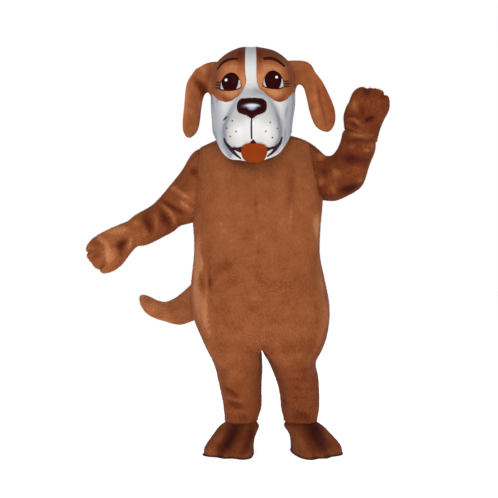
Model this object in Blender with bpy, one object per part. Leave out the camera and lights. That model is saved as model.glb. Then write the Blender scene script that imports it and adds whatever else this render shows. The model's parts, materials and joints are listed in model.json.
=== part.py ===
"""Dog mascot costume: plush jumpsuit with tail, two mitts, two foot covers and a moulded head, posed as worn.

Heights in the tables are above the soles, +X is the wearer's left, and the costume faces -Y. The finished
pieces hang from one empty, which puts the origin at the wearer's shoulders, in the middle of the suit's neck.
"""

import math
from bisect import bisect_right
from collections import namedtuple

import bmesh
import bpy
from mathutils import Matrix, Vector
from mathutils.bvhtree import BVHTree

PLUSH = 0.006  # woven backing and short pile together
SHELL = 0.008  # the head's moulded wall with its cover
SEAM = 0.0003  # gap between pieces that are sewn edge to edge
LIE = 0.0012  # gap under a piece that lies on a faceted panel
HELD_HEIGHT = 1.40  # the shoulders that carry the suit, above the soles
LEAN = 0.043  # sideways shift of the centre seam for each metre below the shoulders

RIGHT, LEFT = -1, 1  # the wearer's sides, as signs of X
SIDES = ((RIGHT, "right"), (LEFT, "left"))

# The jumpsuit's trunk, from the crotch up to the neck. left and right are half widths from the centre seam.
Trunk = namedtuple("Trunk", "height right left front back power")
TRUNK = [
    Trunk(0.456, 0.250, 0.272, 0.182, 0.170, 2.3),
    Trunk(0.500, 0.268, 0.292, 0.194, 0.178, 2.4),
    Trunk(0.580, 0.300, 0.310, 0.216, 0.192, 2.4),
    Trunk(0.660, 0.316, 0.319, 0.232, 0.200, 2.4),
    Trunk(0.755, 0.310, 0.308, 0.238, 0.196, 2.4),
    Trunk(0.860, 0.292, 0.286, 0.230, 0.180, 2.5),
    Trunk(0.950, 0.285, 0.282, 0.218, 0.168, 2.5),
    Trunk(1.022, 0.289, 0.290, 0.206, 0.166, 2.5),
    Trunk(1.124, 0.288, 0.305, 0.188, 0.166, 2.5),
    Trunk(1.200, 0.281, 0.302, 0.170, 0.162, 2.5),
    Trunk(1.270, 0.270, 0.290, 0.150, 0.150, 2.4),
    Trunk(1.330, 0.252, 0.276, 0.128, 0.132, 2.3),
    Trunk(1.352, 0.242, 0.268, 0.119, 0.124, 2.3),
    Trunk(1.375, 0.214, 0.258, 0.110, 0.113, 2.2),
    Trunk(1.388, 0.190, 0.247, 0.104, 0.107, 2.2),
    Trunk(1.402, 0.160, 0.200, 0.097, 0.100, 2.1),
    Trunk(1.416, 0.135, 0.152, 0.091, 0.094, 2.0),
    Trunk(1.430, 0.118, 0.122, 0.086, 0.088, 2.0),
    Trunk(1.450, 0.112, 0.112, 0.084, 0.086, 2.0),
]
CROTCH, TRUNK_END = 0.456, 0.600  # where the legs part, and where the centre seam starts to turn under
SEAM_GRIP = 4  # how close to the centre seam the crotch's quarter round stays
NECK_TOP = 1.450

# The legs below the crotch: middle is the leg's centre on X.
Leg = namedtuple("Leg", "height middle half_width half_depth centre_y")
LEGS = {
    RIGHT: [
        Leg(0.105, -0.054, 0.076, 0.080, 0.006),
        Leg(0.140, -0.053, 0.079, 0.084, 0.005),
        Leg(0.200, -0.047, 0.087, 0.098, 0.000),
        Leg(0.280, -0.055, 0.095, 0.118, -0.004),
        Leg(0.390, -0.066, 0.110, 0.150, -0.008),
        Leg(0.456, -0.0847, 0.125, 0.172, -0.008),
    ],
    LEFT: [
        Leg(0.105, 0.215, 0.076, 0.080, 0.006),
        Leg(0.140, 0.214, 0.080, 0.084, 0.005),
        Leg(0.200, 0.212, 0.088, 0.098, 0.000),
        Leg(0.280, 0.207, 0.092, 0.118, -0.004),
        Leg(0.390, 0.184, 0.110, 0.150, -0.008),
        Leg(0.456, 0.1766, 0.136, 0.172, -0.008),
    ],
}
LEG_HEM = 0.138

# An armhole is an oval in the side of the trunk. around is its reach to each side of the side seam.
Armhole = namedtuple("Armhole", "bottom top around")
ARMHOLES = {RIGHT: Armhole(1.022, 1.352, 0.165), LEFT: Armhole(1.124, 1.388, 0.165)}
ARMHOLE_STEPS = 10  # rows of the panels along the armhole, half the sleeve's columns
YOKE_ROWS, TURN_ROWS, LEG_ROWS = 4, 5, 12  # rows above the armhole, at the crotch and down the leg
TRUNK_PITCH, PANEL_COLUMNS = 0.062, 7

# A section of a sleeve or mitt: its edge above and below as seen from the front, its middle on Y, half depth.
Ring = namedtuple("Ring", "top_x top_z bottom_x bottom_z y half_depth")
RingAt = namedtuple("RingAt", ("place", *Ring._fields))
SLEEVES = {
    RIGHT: [
        Ring(-0.240, 1.352, -0.273, 1.0220, 0.000, 0.098),
        Ring(-0.279, 1.330, -0.283, 1.0195, -0.003, 0.100),
        Ring(-0.312, 1.280, -0.296, 1.0160, -0.006, 0.098),
        Ring(-0.342, 1.236, -0.312, 1.0090, -0.010, 0.095),
        Ring(-0.380, 1.190, -0.331, 0.9950, -0.015, 0.092),
        Ring(-0.418, 1.143, -0.358, 0.9800, -0.020, 0.088),
        Ring(-0.458, 1.107, -0.396, 0.9620, -0.027, 0.083),
        Ring(-0.497, 1.082, -0.437, 0.9400, -0.034, 0.078),
        Ring(-0.533, 1.061, -0.478, 0.9210, -0.042, 0.073),
        Ring(-0.563, 1.033, -0.515, 0.9190, -0.049, 0.058),
        Ring(-0.590, 1.015, -0.548, 0.9110, -0.055, 0.050),
    ],
    LEFT: [
        Ring(0.247, 1.388, 0.317, 1.1240, 0.000, 0.096),
        Ring(0.283, 1.368, 0.332, 1.1205, -0.010, 0.098),
        Ring(0.308, 1.349, 0.356, 1.1190, -0.020, 0.098),
        Ring(0.326, 1.333, 0.385, 1.1235, -0.032, 0.097),
        Ring(0.338, 1.327, 0.420, 1.1380, -0.045, 0.096),
        Ring(0.349, 1.329, 0.455, 1.1580, -0.058, 0.094),
        Ring(0.360, 1.338, 0.486, 1.1850, -0.070, 0.091),
        Ring(0.371, 1.354, 0.503, 1.2250, -0.080, 0.088),
        Ring(0.380, 1.378, 0.514, 1.2700, -0.088, 0.085),
        Ring(0.388, 1.405, 0.530, 1.3100, -0.095, 0.082),
        Ring(0.394, 1.433, 0.545, 1.3500, -0.100, 0.079),
        Ring(0.4190, 1.451, 0.542, 1.4000, -0.104, 0.062),
        Ring(0.434, 1.478, 0.545, 1.4350, -0.107, 0.056),
    ],
}
SLEEVE_BLEND = 3.0  # sections over which a sleeve turns from the armhole's oval to its own
SLEEVE_PITCH = 0.68  # sections from one row to the next
SECTION_LENGTH, SLEEVE_RADIUS = 0.036, 0.09  # a sleeve's usual measures, on which its folds are placed
FOLD_FADE = 1.5  # sections below the armhole over which the folds begin

MITTS = {
    RIGHT: [
        Ring(-0.562, 1.0450, -0.512, 0.9070, -0.048, 0.072),
        Ring(-0.600, 1.0220, -0.539, 0.8890, -0.056, 0.062),
        Ring(-0.640, 1.0040, -0.560, 0.8600, -0.062, 0.054),
        Ring(-0.680, 0.9840, -0.578, 0.8360, -0.068, 0.050),
        Ring(-0.712, 0.9640, -0.598, 0.8180, -0.072, 0.047),
    ],
    LEFT: [
        Ring(0.389, 1.448, 0.560, 1.3830, -0.103, 0.082),
        Ring(0.391, 1.482, 0.562, 1.4250, -0.107, 0.068),
        Ring(0.396, 1.514, 0.575, 1.4630, -0.110, 0.056),
        Ring(0.406, 1.540, 0.593, 1.4980, -0.113, 0.051),
        Ring(0.417, 1.559, 0.606, 1.5260, -0.116, 0.047),
    ],
}
MITT_END = 0.080  # length of the rounded finger end past the last section
MITT_COLUMNS = (1.0, 0.9, 0.667, 0.46, 1 / 3, 0.2)  # places across the hand, from its edge inwards
MITT_CAP_DEGREES = (25, 45, 62, 76, 90)
MITT_ROWS = 7
FINGER_GROOVE, GROOVE_WIDTH = 1 / 3, 0.15  # place and width of the two grooves, as shares of the half width
FINGER_NOTCH, FINGER_DIP = 0.018, 0.26  # how far a groove cuts back the end, and its share of the thickness
NOTCH_FADE = 0.21  # radians before the tip over which the notches end
FINGERS_FROM, FINGERS_LENGTH = 1.6, 2.0  # where the grooves start and deepen, in sections
FINGERS_ROUND = 0.16  # how far the outer fingers fall back, as a share of the end
MITT_NARROW, MITT_FLATTEN = 0.42, 0.62  # powers of the end's roundness across the hand and through it

# A soft crease in the plush. along is metres down the sleeve, and around metres round it from its top.
Fold = namedtuple("Fold", "along around length width tilt depth")
SLEEVE_FOLDS = {
    RIGHT: [
        Fold(0.105, 0.10, 0.17, 0.028, 58, 0.012),
        Fold(0.165, 0.15, 0.16, 0.026, 68, 0.014),
        Fold(0.225, 0.08, 0.14, 0.024, 82, 0.011),
        Fold(0.130, 0.32, 0.15, 0.028, 100, 0.011),
        Fold(0.200, 0.42, 0.13, 0.026, 80, 0.011),
        Fold(0.290, 0.13, 0.12, 0.022, 92, 0.008),
    ],
    LEFT: [
        Fold(0.070, 0.05, 0.15, 0.026, 112, 0.012),
        Fold(0.120, 0.50, 0.16, 0.028, 95, 0.016),
        Fold(0.165, 0.10, 0.14, 0.024, 72, 0.013),
        Fold(0.235, 0.12, 0.14, 0.024, 84, 0.010),
        Fold(0.290, 0.09, 0.13, 0.022, 96, 0.010),
        Fold(0.150, 0.36, 0.15, 0.026, 88, 0.010),
    ],
}
# On the body, along is the height, and around is metres from the front seam.
BODY_GIRTH = 0.80  # metres from the front seam to the back seam
BODY_FOLDS = {
    RIGHT: [
        Fold(0.178, 0.22, 0.17, 0.024, 80, 0.010),
        Fold(0.232, 0.16, 0.19, 0.026, 102, 0.012),
        Fold(0.290, 0.24, 0.16, 0.026, 78, 0.010),
        Fold(0.385, 0.17, 0.22, 0.032, 62, 0.010),
        Fold(0.700, 0.30, 0.26, 0.060, 8, 0.012),
        Fold(0.235, 0.62, 0.20, 0.028, 95, 0.010),
        Fold(0.470, 0.62, 0.26, 0.036, 80, 0.013),
    ],
    LEFT: [
        Fold(0.182, 0.15, 0.17, 0.024, 98, 0.009),
        Fold(0.240, 0.26, 0.18, 0.026, 82, 0.010),
        Fold(0.398, 0.38, 0.22, 0.028, 97, 0.014),
        Fold(0.315, 0.14, 0.18, 0.028, 100, 0.008),
        Fold(0.780, 0.36, 0.26, 0.060, -6, 0.010),
        Fold(0.235, 0.62, 0.20, 0.028, 85, 0.010),
        Fold(0.470, 0.62, 0.26, 0.036, 100, 0.013),
    ],
}

# The stuffed tail, from the seat round to the wearer's right, where it curls up.
TailRing = namedtuple("TailRing", "along x y z radius")
TAIL = [
    TailRing(0.0, 0.012, 0.190, 0.792, 0.074),
    TailRing(1.0, -0.008, 0.255, 0.778, 0.076),
    TailRing(2.0, -0.066, 0.302, 0.752, 0.077),
    TailRing(3.0, -0.155, 0.308, 0.716, 0.077),
    TailRing(4.0, -0.248, 0.276, 0.672, 0.074),
    TailRing(5.0, -0.335, 0.236, 0.637, 0.060),
    TailRing(6.0, -0.405, 0.206, 0.613, 0.050),
    TailRing(7.0, -0.465, 0.188, 0.628, 0.045),
    TailRing(8.0, -0.508, 0.180, 0.668, 0.032),
    TailRing(8.5, -0.520, 0.178, 0.686, 0.016),
]
TAIL_ROWS, TAIL_COLUMNS, TAIL_TIP = 16, 17, 0.008
TAIL_CLEAR, TAIL_HOLLOW = 0.003, 0.018  # its root's gap over the seat, at the rim and in the middle
BEHIND = 0.40  # a place on Y behind the seat

ZIP_BOTTOM, ZIP_TOP = 0.900, 1.440
ZIP_TAPER = 0.035  # over which the back seam closes below the zip
ZIP_GAP = 0.0045  # from the seam line to each back panel's edge beside the zip
ZIP_TAPE, ZIP_SINK = 0.0016, 0.0026  # the tape's thickness, and its depth under the plush
ZIP_ROWS = 16
SLIDER_HEIGHT = 1.424
SLIDER = (0.007, 0.0045, 0.014)
PULL, PULL_EYE = (0.0055, 0.0014, 0.026), 0.0008  # the tab, and its axis below its upper end
SLIDER_CLEAR, PULL_CLEAR = 0.0034, 0.0016
METAL_BEVEL = 0.22  # as a share of the block's thinnest side

# The head: a superellipsoid with the muzzle, flews and jaw pushed forward. Sizes are half extents.
HEAD_CENTRE = Vector((0.0, -0.035, 1.575))
HEAD_HALF_WIDTH, HEAD_FRONT, HEAD_BACK = 0.190, 0.175, 0.205
HEAD_ABOVE, HEAD_BELOW, HEAD_POWER = 0.243, 0.400, 2.6
NAPE, NAPE_TOP, NAPE_LENGTH = 0.015, 1.595, 0.19  # how far the back draws in towards the neck, and where
FRONT_FADE, BACK_FADE = 3.0, 1.5  # how fast the muzzle and the nape fade towards the sides
Rim = namedtuple("Rim", "azimuth height")
HEAD_RIM = [
    Rim(0, 1.284),
    Rim(15, 1.291),
    Rim(28, 1.313),
    Rim(44, 1.345),
    Rim(60, 1.388),
    Rim(78, 1.424),
    Rim(90, 1.432),
    Rim(120, 1.432),
    Rim(150, 1.420),
    Rim(180, 1.408),
]
RIM_HALVINGS = 40
HEAD_FRONT_STEP, HEAD_BACK_STEP, HEAD_FRONT_SPAN = 7, 22, 70  # degrees: columns' steps, the fine ones' reach
HEAD_ROWS = (
    0, 0.11, 0.22, 0.32, 0.40, 0.47, 0.53, 0.58, 0.63, 0.67, 0.71,
    0.745, 0.775, 0.80, 0.825, 0.85, 0.875, 0.905, 0.94, 0.97, 1.0,
)  # shares of the way from the top to the rim
# The muzzle's bridge: its forward reach and half width at each height.
Bridge = namedtuple("Bridge", "height forward half_width")
BRIDGE = [
    Bridge(1.270, 0.030, 0.070),
    Bridge(1.320, 0.050, 0.088),
    Bridge(1.365, 0.062, 0.100),
    Bridge(1.395, 0.086, 0.108),
    Bridge(1.430, 0.112, 0.118),
    Bridge(1.480, 0.112, 0.114),
    Bridge(1.520, 0.094, 0.098),
    Bridge(1.560, 0.058, 0.078),
    Bridge(1.600, 0.022, 0.056),
    Bridge(1.645, 0.000, 0.045),
]
BRIDGE_POWER, SWELL_POWER = 2.2, 0.65  # how square the bridge's section is, and how blunt a dome
Swell = namedtuple("Swell", "x z half_width half_height forward")
FLEW = Swell(0.059, 1.424, 0.070, 0.082, 0.132)
JAW = Swell(0.0, 1.345, 0.100, 0.075, 0.082)
LIP_MIDDLE, LIP_RISE = 1.312, 4.0  # the lower lip's edge at the middle, and how fast it rises to the corners
LIP_ROLL = 0.026  # height over which the lip rolls back into the mouth
SOFTNESS = 0.016  # how softly the muzzle's forms run into each other

# The white face from the front, for its half at +X: down the blaze, round under the eye and out to the side.
Outline = namedtuple("Outline", "x z")
FACE_EDGE = [
    Outline(0.0262, 1.900),
    Outline(0.0262, 1.720),
    Outline(0.0270, 1.660),
    Outline(0.0300, 1.628),
    Outline(0.0400, 1.602),
    Outline(0.0620, 1.577),
    Outline(0.0900, 1.559),
    Outline(0.1200, 1.552),
    Outline(0.1480, 1.562),
    Outline(0.1700, 1.588),
    Outline(0.1850, 1.612),
    Outline(0.2400, 1.630),
]
FACE_LOW_CORNER = Outline(0.30, 1.20)  # clear of the head, beside its rim
FACE_BACK, BLAZE_BACK = -0.030, 0.060  # how far back the white cheeks and the blaze reach, on Y
BLAZE_FOOT, BLAZE_TOP, BLAZE_LAP = 1.70, 1.88, 0.05  # the blaze's cutter, and its lap on the cheeks'
BEFORE = -0.60  # a place on Y in front of the muzzle
MUZZLE_BACK = -0.15  # a place on Y inside the muzzle
RAY_START = -0.70

EDGE = 0.0012  # thickness of a piece on the face at its rim
PATCH_RINGS, EYE_RINGS, PATCH_COLUMNS, NOSE_COLUMNS = 4, 3, 21, 25
EYE_POWER, NOSE_POWER, TONGUE_POWER = 0.9, 0.72, 0.75  # below 1, an outline is squarer than an ellipse
NOSE_CLEAR, NOSE_POINT, NOSE_TAPER = 0.003, 0.42, 1.4  # how far the nose narrows to its point, and how late
Spot = namedtuple("Spot", "x z half_width half_height rise")
EYES = {RIGHT: Spot(-0.095, 1.638, 0.0435, 0.0385, 0.007), LEFT: Spot(0.089, 1.638, 0.0435, 0.0385, 0.007)}
NOSE = Spot(-0.003, 1.512, 0.062, 0.044, 0.036)
TONGUE = Spot(0.004, 1.322, 0.056, 0.042, 0.012)
TONGUE_FORWARD, TONGUE_CREST = 0.262, 1.322  # how far forward its back is, and the height where that is so
TONGUE_CURL, TONGUE_BEND = 6.0, 6.0  # how it falls away from there, upwards, downwards and to the sides
TONGUE_CLEAR, TONGUE_TAPER = 0.010, 0.14  # gap over the lining and the lip; and how much wider it is above
# The dark mouth between flews and lip, for its half at +X.
MOUTH_EDGE = [
    Outline(0.000, 1.380),
    Outline(0.014, 1.364),
    Outline(0.040, 1.350),
    Outline(0.070, 1.347),
    Outline(0.092, 1.356),
    Outline(0.103, 1.366),
    Outline(0.098, 1.349),
    Outline(0.080, 1.334),
    Outline(0.050, 1.318),
    Outline(0.000, 1.308),
]
LINING, LINING_CLEAR, LINING_SPAN = 0.002, 0.003, math.radians(50)
LINING_ROWS = tuple(share for share in HEAD_ROWS if 0.74 < share < 0.99)

# An ear's section: its middle, its half width, and the way its width points: tilt up from X, turn about Z.
EarRing = namedtuple("EarRing", "along x y z half_width tilt turn half_thick")
EARS = {
    RIGHT: [
        EarRing(0.0, -0.186, -0.030, 1.686, 0.062, 90, 0, 0.011),
        EarRing(1.0, -0.222, -0.034, 1.692, 0.052, 62, 14, 0.012),
        EarRing(2.0, -0.250, -0.040, 1.664, 0.046, 34, 30, 0.013),
        EarRing(3.0, -0.263, -0.046, 1.612, 0.046, 12, 40, 0.012),
        EarRing(4.0, -0.268, -0.048, 1.552, 0.050, 2, 45, 0.011),
        EarRing(5.0, -0.273, -0.048, 1.498, 0.053, 0, 45, 0.011),
        EarRing(6.0, -0.279, -0.047, 1.452, 0.046, 0, 43, 0.010),
        EarRing(7.0, -0.284, -0.046, 1.424, 0.030, 0, 42, 0.009),
        EarRing(7.5, -0.286, -0.046, 1.411, 0.010, 0, 42, 0.006),
    ],
    LEFT: [
        EarRing(0.0, 0.186, -0.030, 1.688, 0.064, 90, 0, 0.011),
        EarRing(1.0, 0.217, -0.034, 1.703, 0.051, 68, 0, 0.012),
        EarRing(2.0, 0.246, -0.042, 1.688, 0.043, 43, 0, 0.013),
        EarRing(3.0, 0.268, -0.052, 1.650, 0.041, 20, 4, 0.012),
        EarRing(4.0, 0.284, -0.058, 1.602, 0.047, 14, 6, 0.011),
        EarRing(5.0, 0.300, -0.060, 1.548, 0.055, 15, 8, 0.011),
        EarRing(6.0, 0.317, -0.060, 1.497, 0.053, 18, 8, 0.010),
        EarRing(7.0, 0.330, -0.058, 1.458, 0.036, 20, 8, 0.009),
        EarRing(7.5, 0.337, -0.057, 1.441, 0.012, 20, 8, 0.006),
    ],
}
EAR_ROWS, EAR_COLUMNS, EAR_POWER, EAR_TIP = 15, 13, 0.7, 0.004
EAR_HOLLOW = 10 * LIE  # the root's gap over the head in its middle
BESIDE = 0.40  # a place on X beside the head

# Foot covers: reach is the share of the way from the ankle's ring to the sole's outline.
FootRow = namedtuple("FootRow", "height ankle_radius reach")
FootRowAt = namedtuple("FootRowAt", ("place", *FootRow._fields))
FOOT_ROWS = [
    FootRow(0.176, 0.058, 0.00),
    FootRow(0.150, 0.059, 0.00),
    FootRow(0.129, 0.061, 0.00),
    FootRow(0.119, 0.078, 0.06),
    FootRow(0.101, 0.080, 0.28),
    FootRow(0.078, 0.080, 0.58),
    FootRow(0.052, 0.080, 0.86),
    FootRow(0.026, 0.080, 1.00),
    FootRow(0.0053, 0.080, 0.99),
]
ANKLES = {RIGHT: (-0.053, 0.006), LEFT: (0.215, 0.006)}
# The soles' outlines from above: from the heel by the inner side to the three toes, back by the outer side.
FootEdge = namedtuple("FootEdge", "x y")
FOOT_EDGES = {
    RIGHT: [
        FootEdge(-0.047, 0.088),
        FootEdge(-0.002, 0.052),
        FootEdge(0.004, -0.045),
        FootEdge(-0.002, -0.130),
        FootEdge(-0.016, -0.180),
        FootEdge(-0.050, -0.198),
        FootEdge(-0.090, -0.172),
        FootEdge(-0.126, -0.178),
        FootEdge(-0.158, -0.148),
        FootEdge(-0.198, -0.134),
        FootEdge(-0.224, -0.088),
        FootEdge(-0.166, 0.010),
        FootEdge(-0.098, 0.074),
    ],
    LEFT: [
        FootEdge(0.226, 0.088),
        FootEdge(0.172, 0.052),
        FootEdge(0.172, -0.042),
        FootEdge(0.196, -0.135),
        FootEdge(0.224, -0.188),
        FootEdge(0.256, -0.202),
        FootEdge(0.286, -0.174),
        FootEdge(0.322, -0.172),
        FootEdge(0.344, -0.136),
        FootEdge(0.382, -0.112),
        FootEdge(0.400, -0.056),
        FootEdge(0.344, 0.036),
        FootEdge(0.284, 0.082),
    ],
}
EDGE_STEPS = 2  # columns for each point of the outline
TOE_NOTCHES = (6, 8)  # the outline's points between toes
TOE_DIP = 0.012  # how far the top sinks between the toes
DIP_FROM, DIP_DEEPENS = 0.3, 0.4  # the reach at which the dip starts, and over which it deepens
DIP_LOW, DIP_RISES = 0.01, 0.05  # and the same for its height
SOLE = 0.005

RUST, CREAM = (0.33, 0.125, 0.048), (0.80, 0.80, 0.79)
BLACK, SOLE_BROWN = (0.02, 0.008, 0.008), (0.06, 0.025, 0.015)
AMBER, GREY = (0.26, 0.05, 0.01), (0.25, 0.25, 0.26)
PLUSH_ROUGH, TAPE_ROUGH, SOLE_ROUGH, METAL_ROUGH = 0.9, 0.8, 0.7, 0.35
EYE_ROUGH, NOSE_ROUGH, TONGUE_ROUGH = 0.2, 0.25, 0.7
SHARP_ANGLE = math.radians(50)

TURN = 2 * math.pi
SMALL_STEP, SMALL_RISE = 0.004, 0.002  # of a panel place and of height, to measure a direction on a panel
SMALL_TURN, SMALL_PART, SMALL_SHARE = 0.02, 0.05, 0.006  # radians, table rows and shares, for the other forms
CLOSE = 1e-6


def smooth_row(table, at):
    """The table's row at a place between its own rows, every column on a smooth curve through them."""
    keys = [row[0] for row in table]
    at = min(max(at, keys[0]), keys[-1])
    first = min(max(bisect_right(keys, at) - 1, 0), len(keys) - 2)
    span = keys[first + 1] - keys[first]
    t = (at - keys[first]) / span

    def slope(i, column):
        low, high = max(i - 1, 0), min(i + 1, len(keys) - 1)
        return (table[high][column] - table[low][column]) / (keys[high] - keys[low])

    values = [at]
    for column in range(1, len(table[0])):
        start, end = table[first][column], table[first + 1][column]
        values.append(
            (2 * t**3 - 3 * t**2 + 1) * start
            + (t**3 - 2 * t**2 + t) * span * slope(first, column)
            + (3 * t**2 - 2 * t**3) * end
            + (t**3 - t**2) * span * slope(first + 1, column)
        )
    return type(table[0])(*values)


def ease(t):
    """0 below 0 and 1 above 1, with a smooth run between."""
    t = min(max(t, 0.0), 1.0)
    return t * t * (3 - 2 * t)


def mix(a, b, share):
    return a + (b - a) * share


def column_turn(column, columns):
    """The turn of a closed grid's column, whose last column is its first again."""
    return TURN * (column % (columns - 1)) / (columns - 1)


def rounded(value, power):
    """value to a power, with its sign kept."""
    return math.copysign(abs(value) ** power, value)


def fold_depth(folds, along, around):
    """How far the plush sinks at a place, with every crease fading towards its ends."""
    depth = 0.0
    for fold in folds:
        tilt = math.radians(fold.tilt)
        down, across = along - fold.along, around - fold.around
        lengthwise = down * math.cos(tilt) + across * math.sin(tilt)
        sideways = across * math.cos(tilt) - down * math.sin(tilt)
        depth += fold.depth * math.exp(-((sideways / fold.width) ** 2) - (2 * lengthwise / fold.length) ** 4)
    return depth


def averaged_normal(point, u, v, step_u, step_v, low_u=None, high_u=None):
    """The outward direction of a surface at (u, v), averaged over the four quarters round it."""
    here, total = point(u, v), Vector()
    for du in (-step_u, step_u):
        if (low_u is not None and u + du < low_u) or (high_u is not None and u + du > high_u):
            continue
        for dv in (-step_v, step_v):
            along_u = (point(u + du, v) - here) * math.copysign(1, du)
            along_v = (point(u, v + dv) - here) * math.copysign(1, dv)
            total += along_u.cross(along_v).normalized()
    return total.normalized()


# --- building cloth walls ---------------------------------------------------------------------------------


def finish_mesh(bm, name, colour, roughness=PLUSH_ROUGH, metallic=0.0):
    """Makes the named object of a bmesh, with its own material, in the costume's collection."""
    bmesh.ops.remove_doubles(bm, verts=bm.verts[:], dist=CLOSE)
    bmesh.ops.triangulate(bm, faces=bm.faces[:])
    bmesh.ops.recalc_face_normals(bm, faces=bm.faces[:])
    mesh = bpy.data.meshes.new(name)
    bm.to_mesh(mesh)
    bm.free()
    return place_object(bpy.data.objects.new(name, mesh), colour, roughness, metallic)


def place_object(item, colour, roughness=PLUSH_ROUGH, metallic=0.0):
    """Gives an object its own material, and puts it in the costume."""
    material = bpy.data.materials.new(item.name)
    material.use_nodes = True
    shader = material.node_tree.nodes["Principled BSDF"]
    shader.inputs["Base Color"].default_value = (*colour, 1.0)
    shader.inputs["Roughness"].default_value = roughness
    shader.inputs["Metallic"].default_value = metallic
    item.data.materials.append(material)
    COLLECTION.objects.link(item)
    item.parent = ORIGIN
    if item.type == "MESH":
        item.data.shade_smooth()
        item.data.set_sharp_from_angle(angle=SHARP_ANGLE)
    return item


def grid(rows, columns, place):
    """A grid whose point in row i and column j is place(i, j)[0], and its layer that keeps place(i, j)[1]."""
    bm = bmesh.new()
    bmesh.ops.create_grid(bm, x_segments=columns - 1, y_segments=rows - 1, size=0.5)
    inner = bm.verts.layers.float_vector.new("inner")
    for vert in bm.verts:
        i = round((vert.co.y + 0.5) * (rows - 1))
        j = round((vert.co.x + 0.5) * (columns - 1))
        outside, inside = place(i, j)
        vert.co = outside
        vert[inner] = inside
    bmesh.ops.remove_doubles(bm, verts=bm.verts[:], dist=CLOSE / 10)
    return bm, inner


def cloth_wall(name, rows, columns, place, colour, roughness=PLUSH_ROUGH):
    """A wall of cloth: the grid of its outer face, extruded to the inner points that place gives."""
    bm, inner = grid(rows, columns, place)
    made = bmesh.ops.extrude_face_region(bm, geom=bm.faces[:], use_keep_orig=True)
    for part in made["geom"]:
        if isinstance(part, bmesh.types.BMVert):
            part.co = part[inner]
    return finish_mesh(bm, name, colour, roughness)


# --- the jumpsuit -----------------------------------------------------------------------------------------


def seam_x(height):
    """Where the centre front and back seams are on X, at a height."""
    return LEAN * (HELD_HEIGHT - height)


def body_point(side, height, around):
    """The suit's outer face. around is 0 at the front seam, 0.5 at the side and 1 at the back seam."""
    around = around % 1.0 if height < CROTCH else min(max(around, 0.0), 1.0)
    trunk = smooth_row(TRUNK, height)
    half_width = trunk.right if side == RIGHT else trunk.left
    turn = math.pi * around
    reach = trunk.front if around < 0.5 else trunk.back
    on_trunk = Vector((
        seam_x(height) + side * half_width * abs(math.sin(turn)) ** (2 / trunk.power),
        -reach * rounded(math.cos(turn), 2 / trunk.power),
    ))
    share = min(max((TRUNK_END - height) / (TRUNK_END - CROTCH), 0.0), 1.0)
    if height < CROTCH:
        leg = smooth_row(LEGS[side], height)
        middle, half_x, half_y, centre_y = leg.middle, leg.half_width, leg.half_depth, leg.centre_y
    else:
        middle, half_x = seam_x(height) + side * half_width / 2, half_width / 2
        at_crotch = LEGS[side][-1]
        half_y = mix((trunk.front + trunk.back) / 2, at_crotch.half_depth, share)
        centre_y = mix((trunk.back - trunk.front) / 2, at_crotch.centre_y, share)
    ring = TURN * around
    on_leg = Vector((middle - side * half_x * math.cos(ring), centre_y - half_y * math.sin(ring)))
    under = 1 - math.sqrt(1 - share**2)  # the centre seam turns under in a quarter round
    near_seam = ((math.cos(ring) + 1) / 2) ** SEAM_GRIP
    point = on_trunk.lerp(on_leg, mix(ease(share), under, near_seam))
    centre = Vector((mix(seam_x(height), middle, ease(share)), centre_y if share > 0 else 0.0))
    outward = (point - centre).normalized()
    point -= outward * fold_depth(BODY_FOLDS[side], height, around * BODY_GIRTH)
    return Vector((point.x, point.y, height))


def body_normal(side, height, around):
    ends = (None, None) if height <= CROTCH + CLOSE else (0.0, 1.0)
    steps = SMALL_STEP, SMALL_RISE
    normal = averaged_normal(lambda u, v: body_point(side, v, u), around, height, *steps, *ends)
    return normal if side == LEFT else -normal


def armhole_around(side, height):
    """How far the armhole reaches to each side of the side seam at a height."""
    hole = ARMHOLES[side]
    middle, half = (hole.top + hole.bottom) / 2, (hole.top - hole.bottom) / 2
    off = (height - middle) / half
    return hole.around * math.sqrt(max(0.0, 1 - off * off)) if abs(off) < 1 else 0.0


def body_heights(side):
    """The heights of a panel's rows, from the neck to the hem."""
    hole = ARMHOLES[side]
    middle, half = (hole.top + hole.bottom) / 2, (hole.top - hole.bottom) / 2
    heights = [mix(NECK_TOP, hole.top, i / YOKE_ROWS) for i in range(YOKE_ROWS)]
    heights += [middle + half * math.cos(math.pi * i / ARMHOLE_STEPS) for i in range(ARMHOLE_STEPS + 1)]
    trunk_rows = round((hole.bottom - TRUNK_END) / TRUNK_PITCH)
    heights += [mix(hole.bottom, TRUNK_END, i / trunk_rows) for i in range(1, trunk_rows)]
    turn_step = math.pi / 2 / TURN_ROWS
    heights += [mix(TRUNK_END, CROTCH, math.sin(turn_step * i)) for i in range(TURN_ROWS + 1)]
    heights += [mix(CROTCH, LEG_HEM, i / LEG_ROWS) for i in range(1, LEG_ROWS + 1)]
    for zip_end in (ZIP_BOTTOM, ZIP_BOTTOM - ZIP_TAPER):
        heights[min(range(len(heights)), key=lambda i: abs(heights[i] - zip_end))] = zip_end
    return sorted(set(heights), reverse=True)


def seam_allowance(height, at_back):
    """Half the gap at the centre seam: wider beside the zip."""
    return ZIP_GAP if at_back and height > ZIP_BOTTOM - SEAM else SEAM / 2


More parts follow.
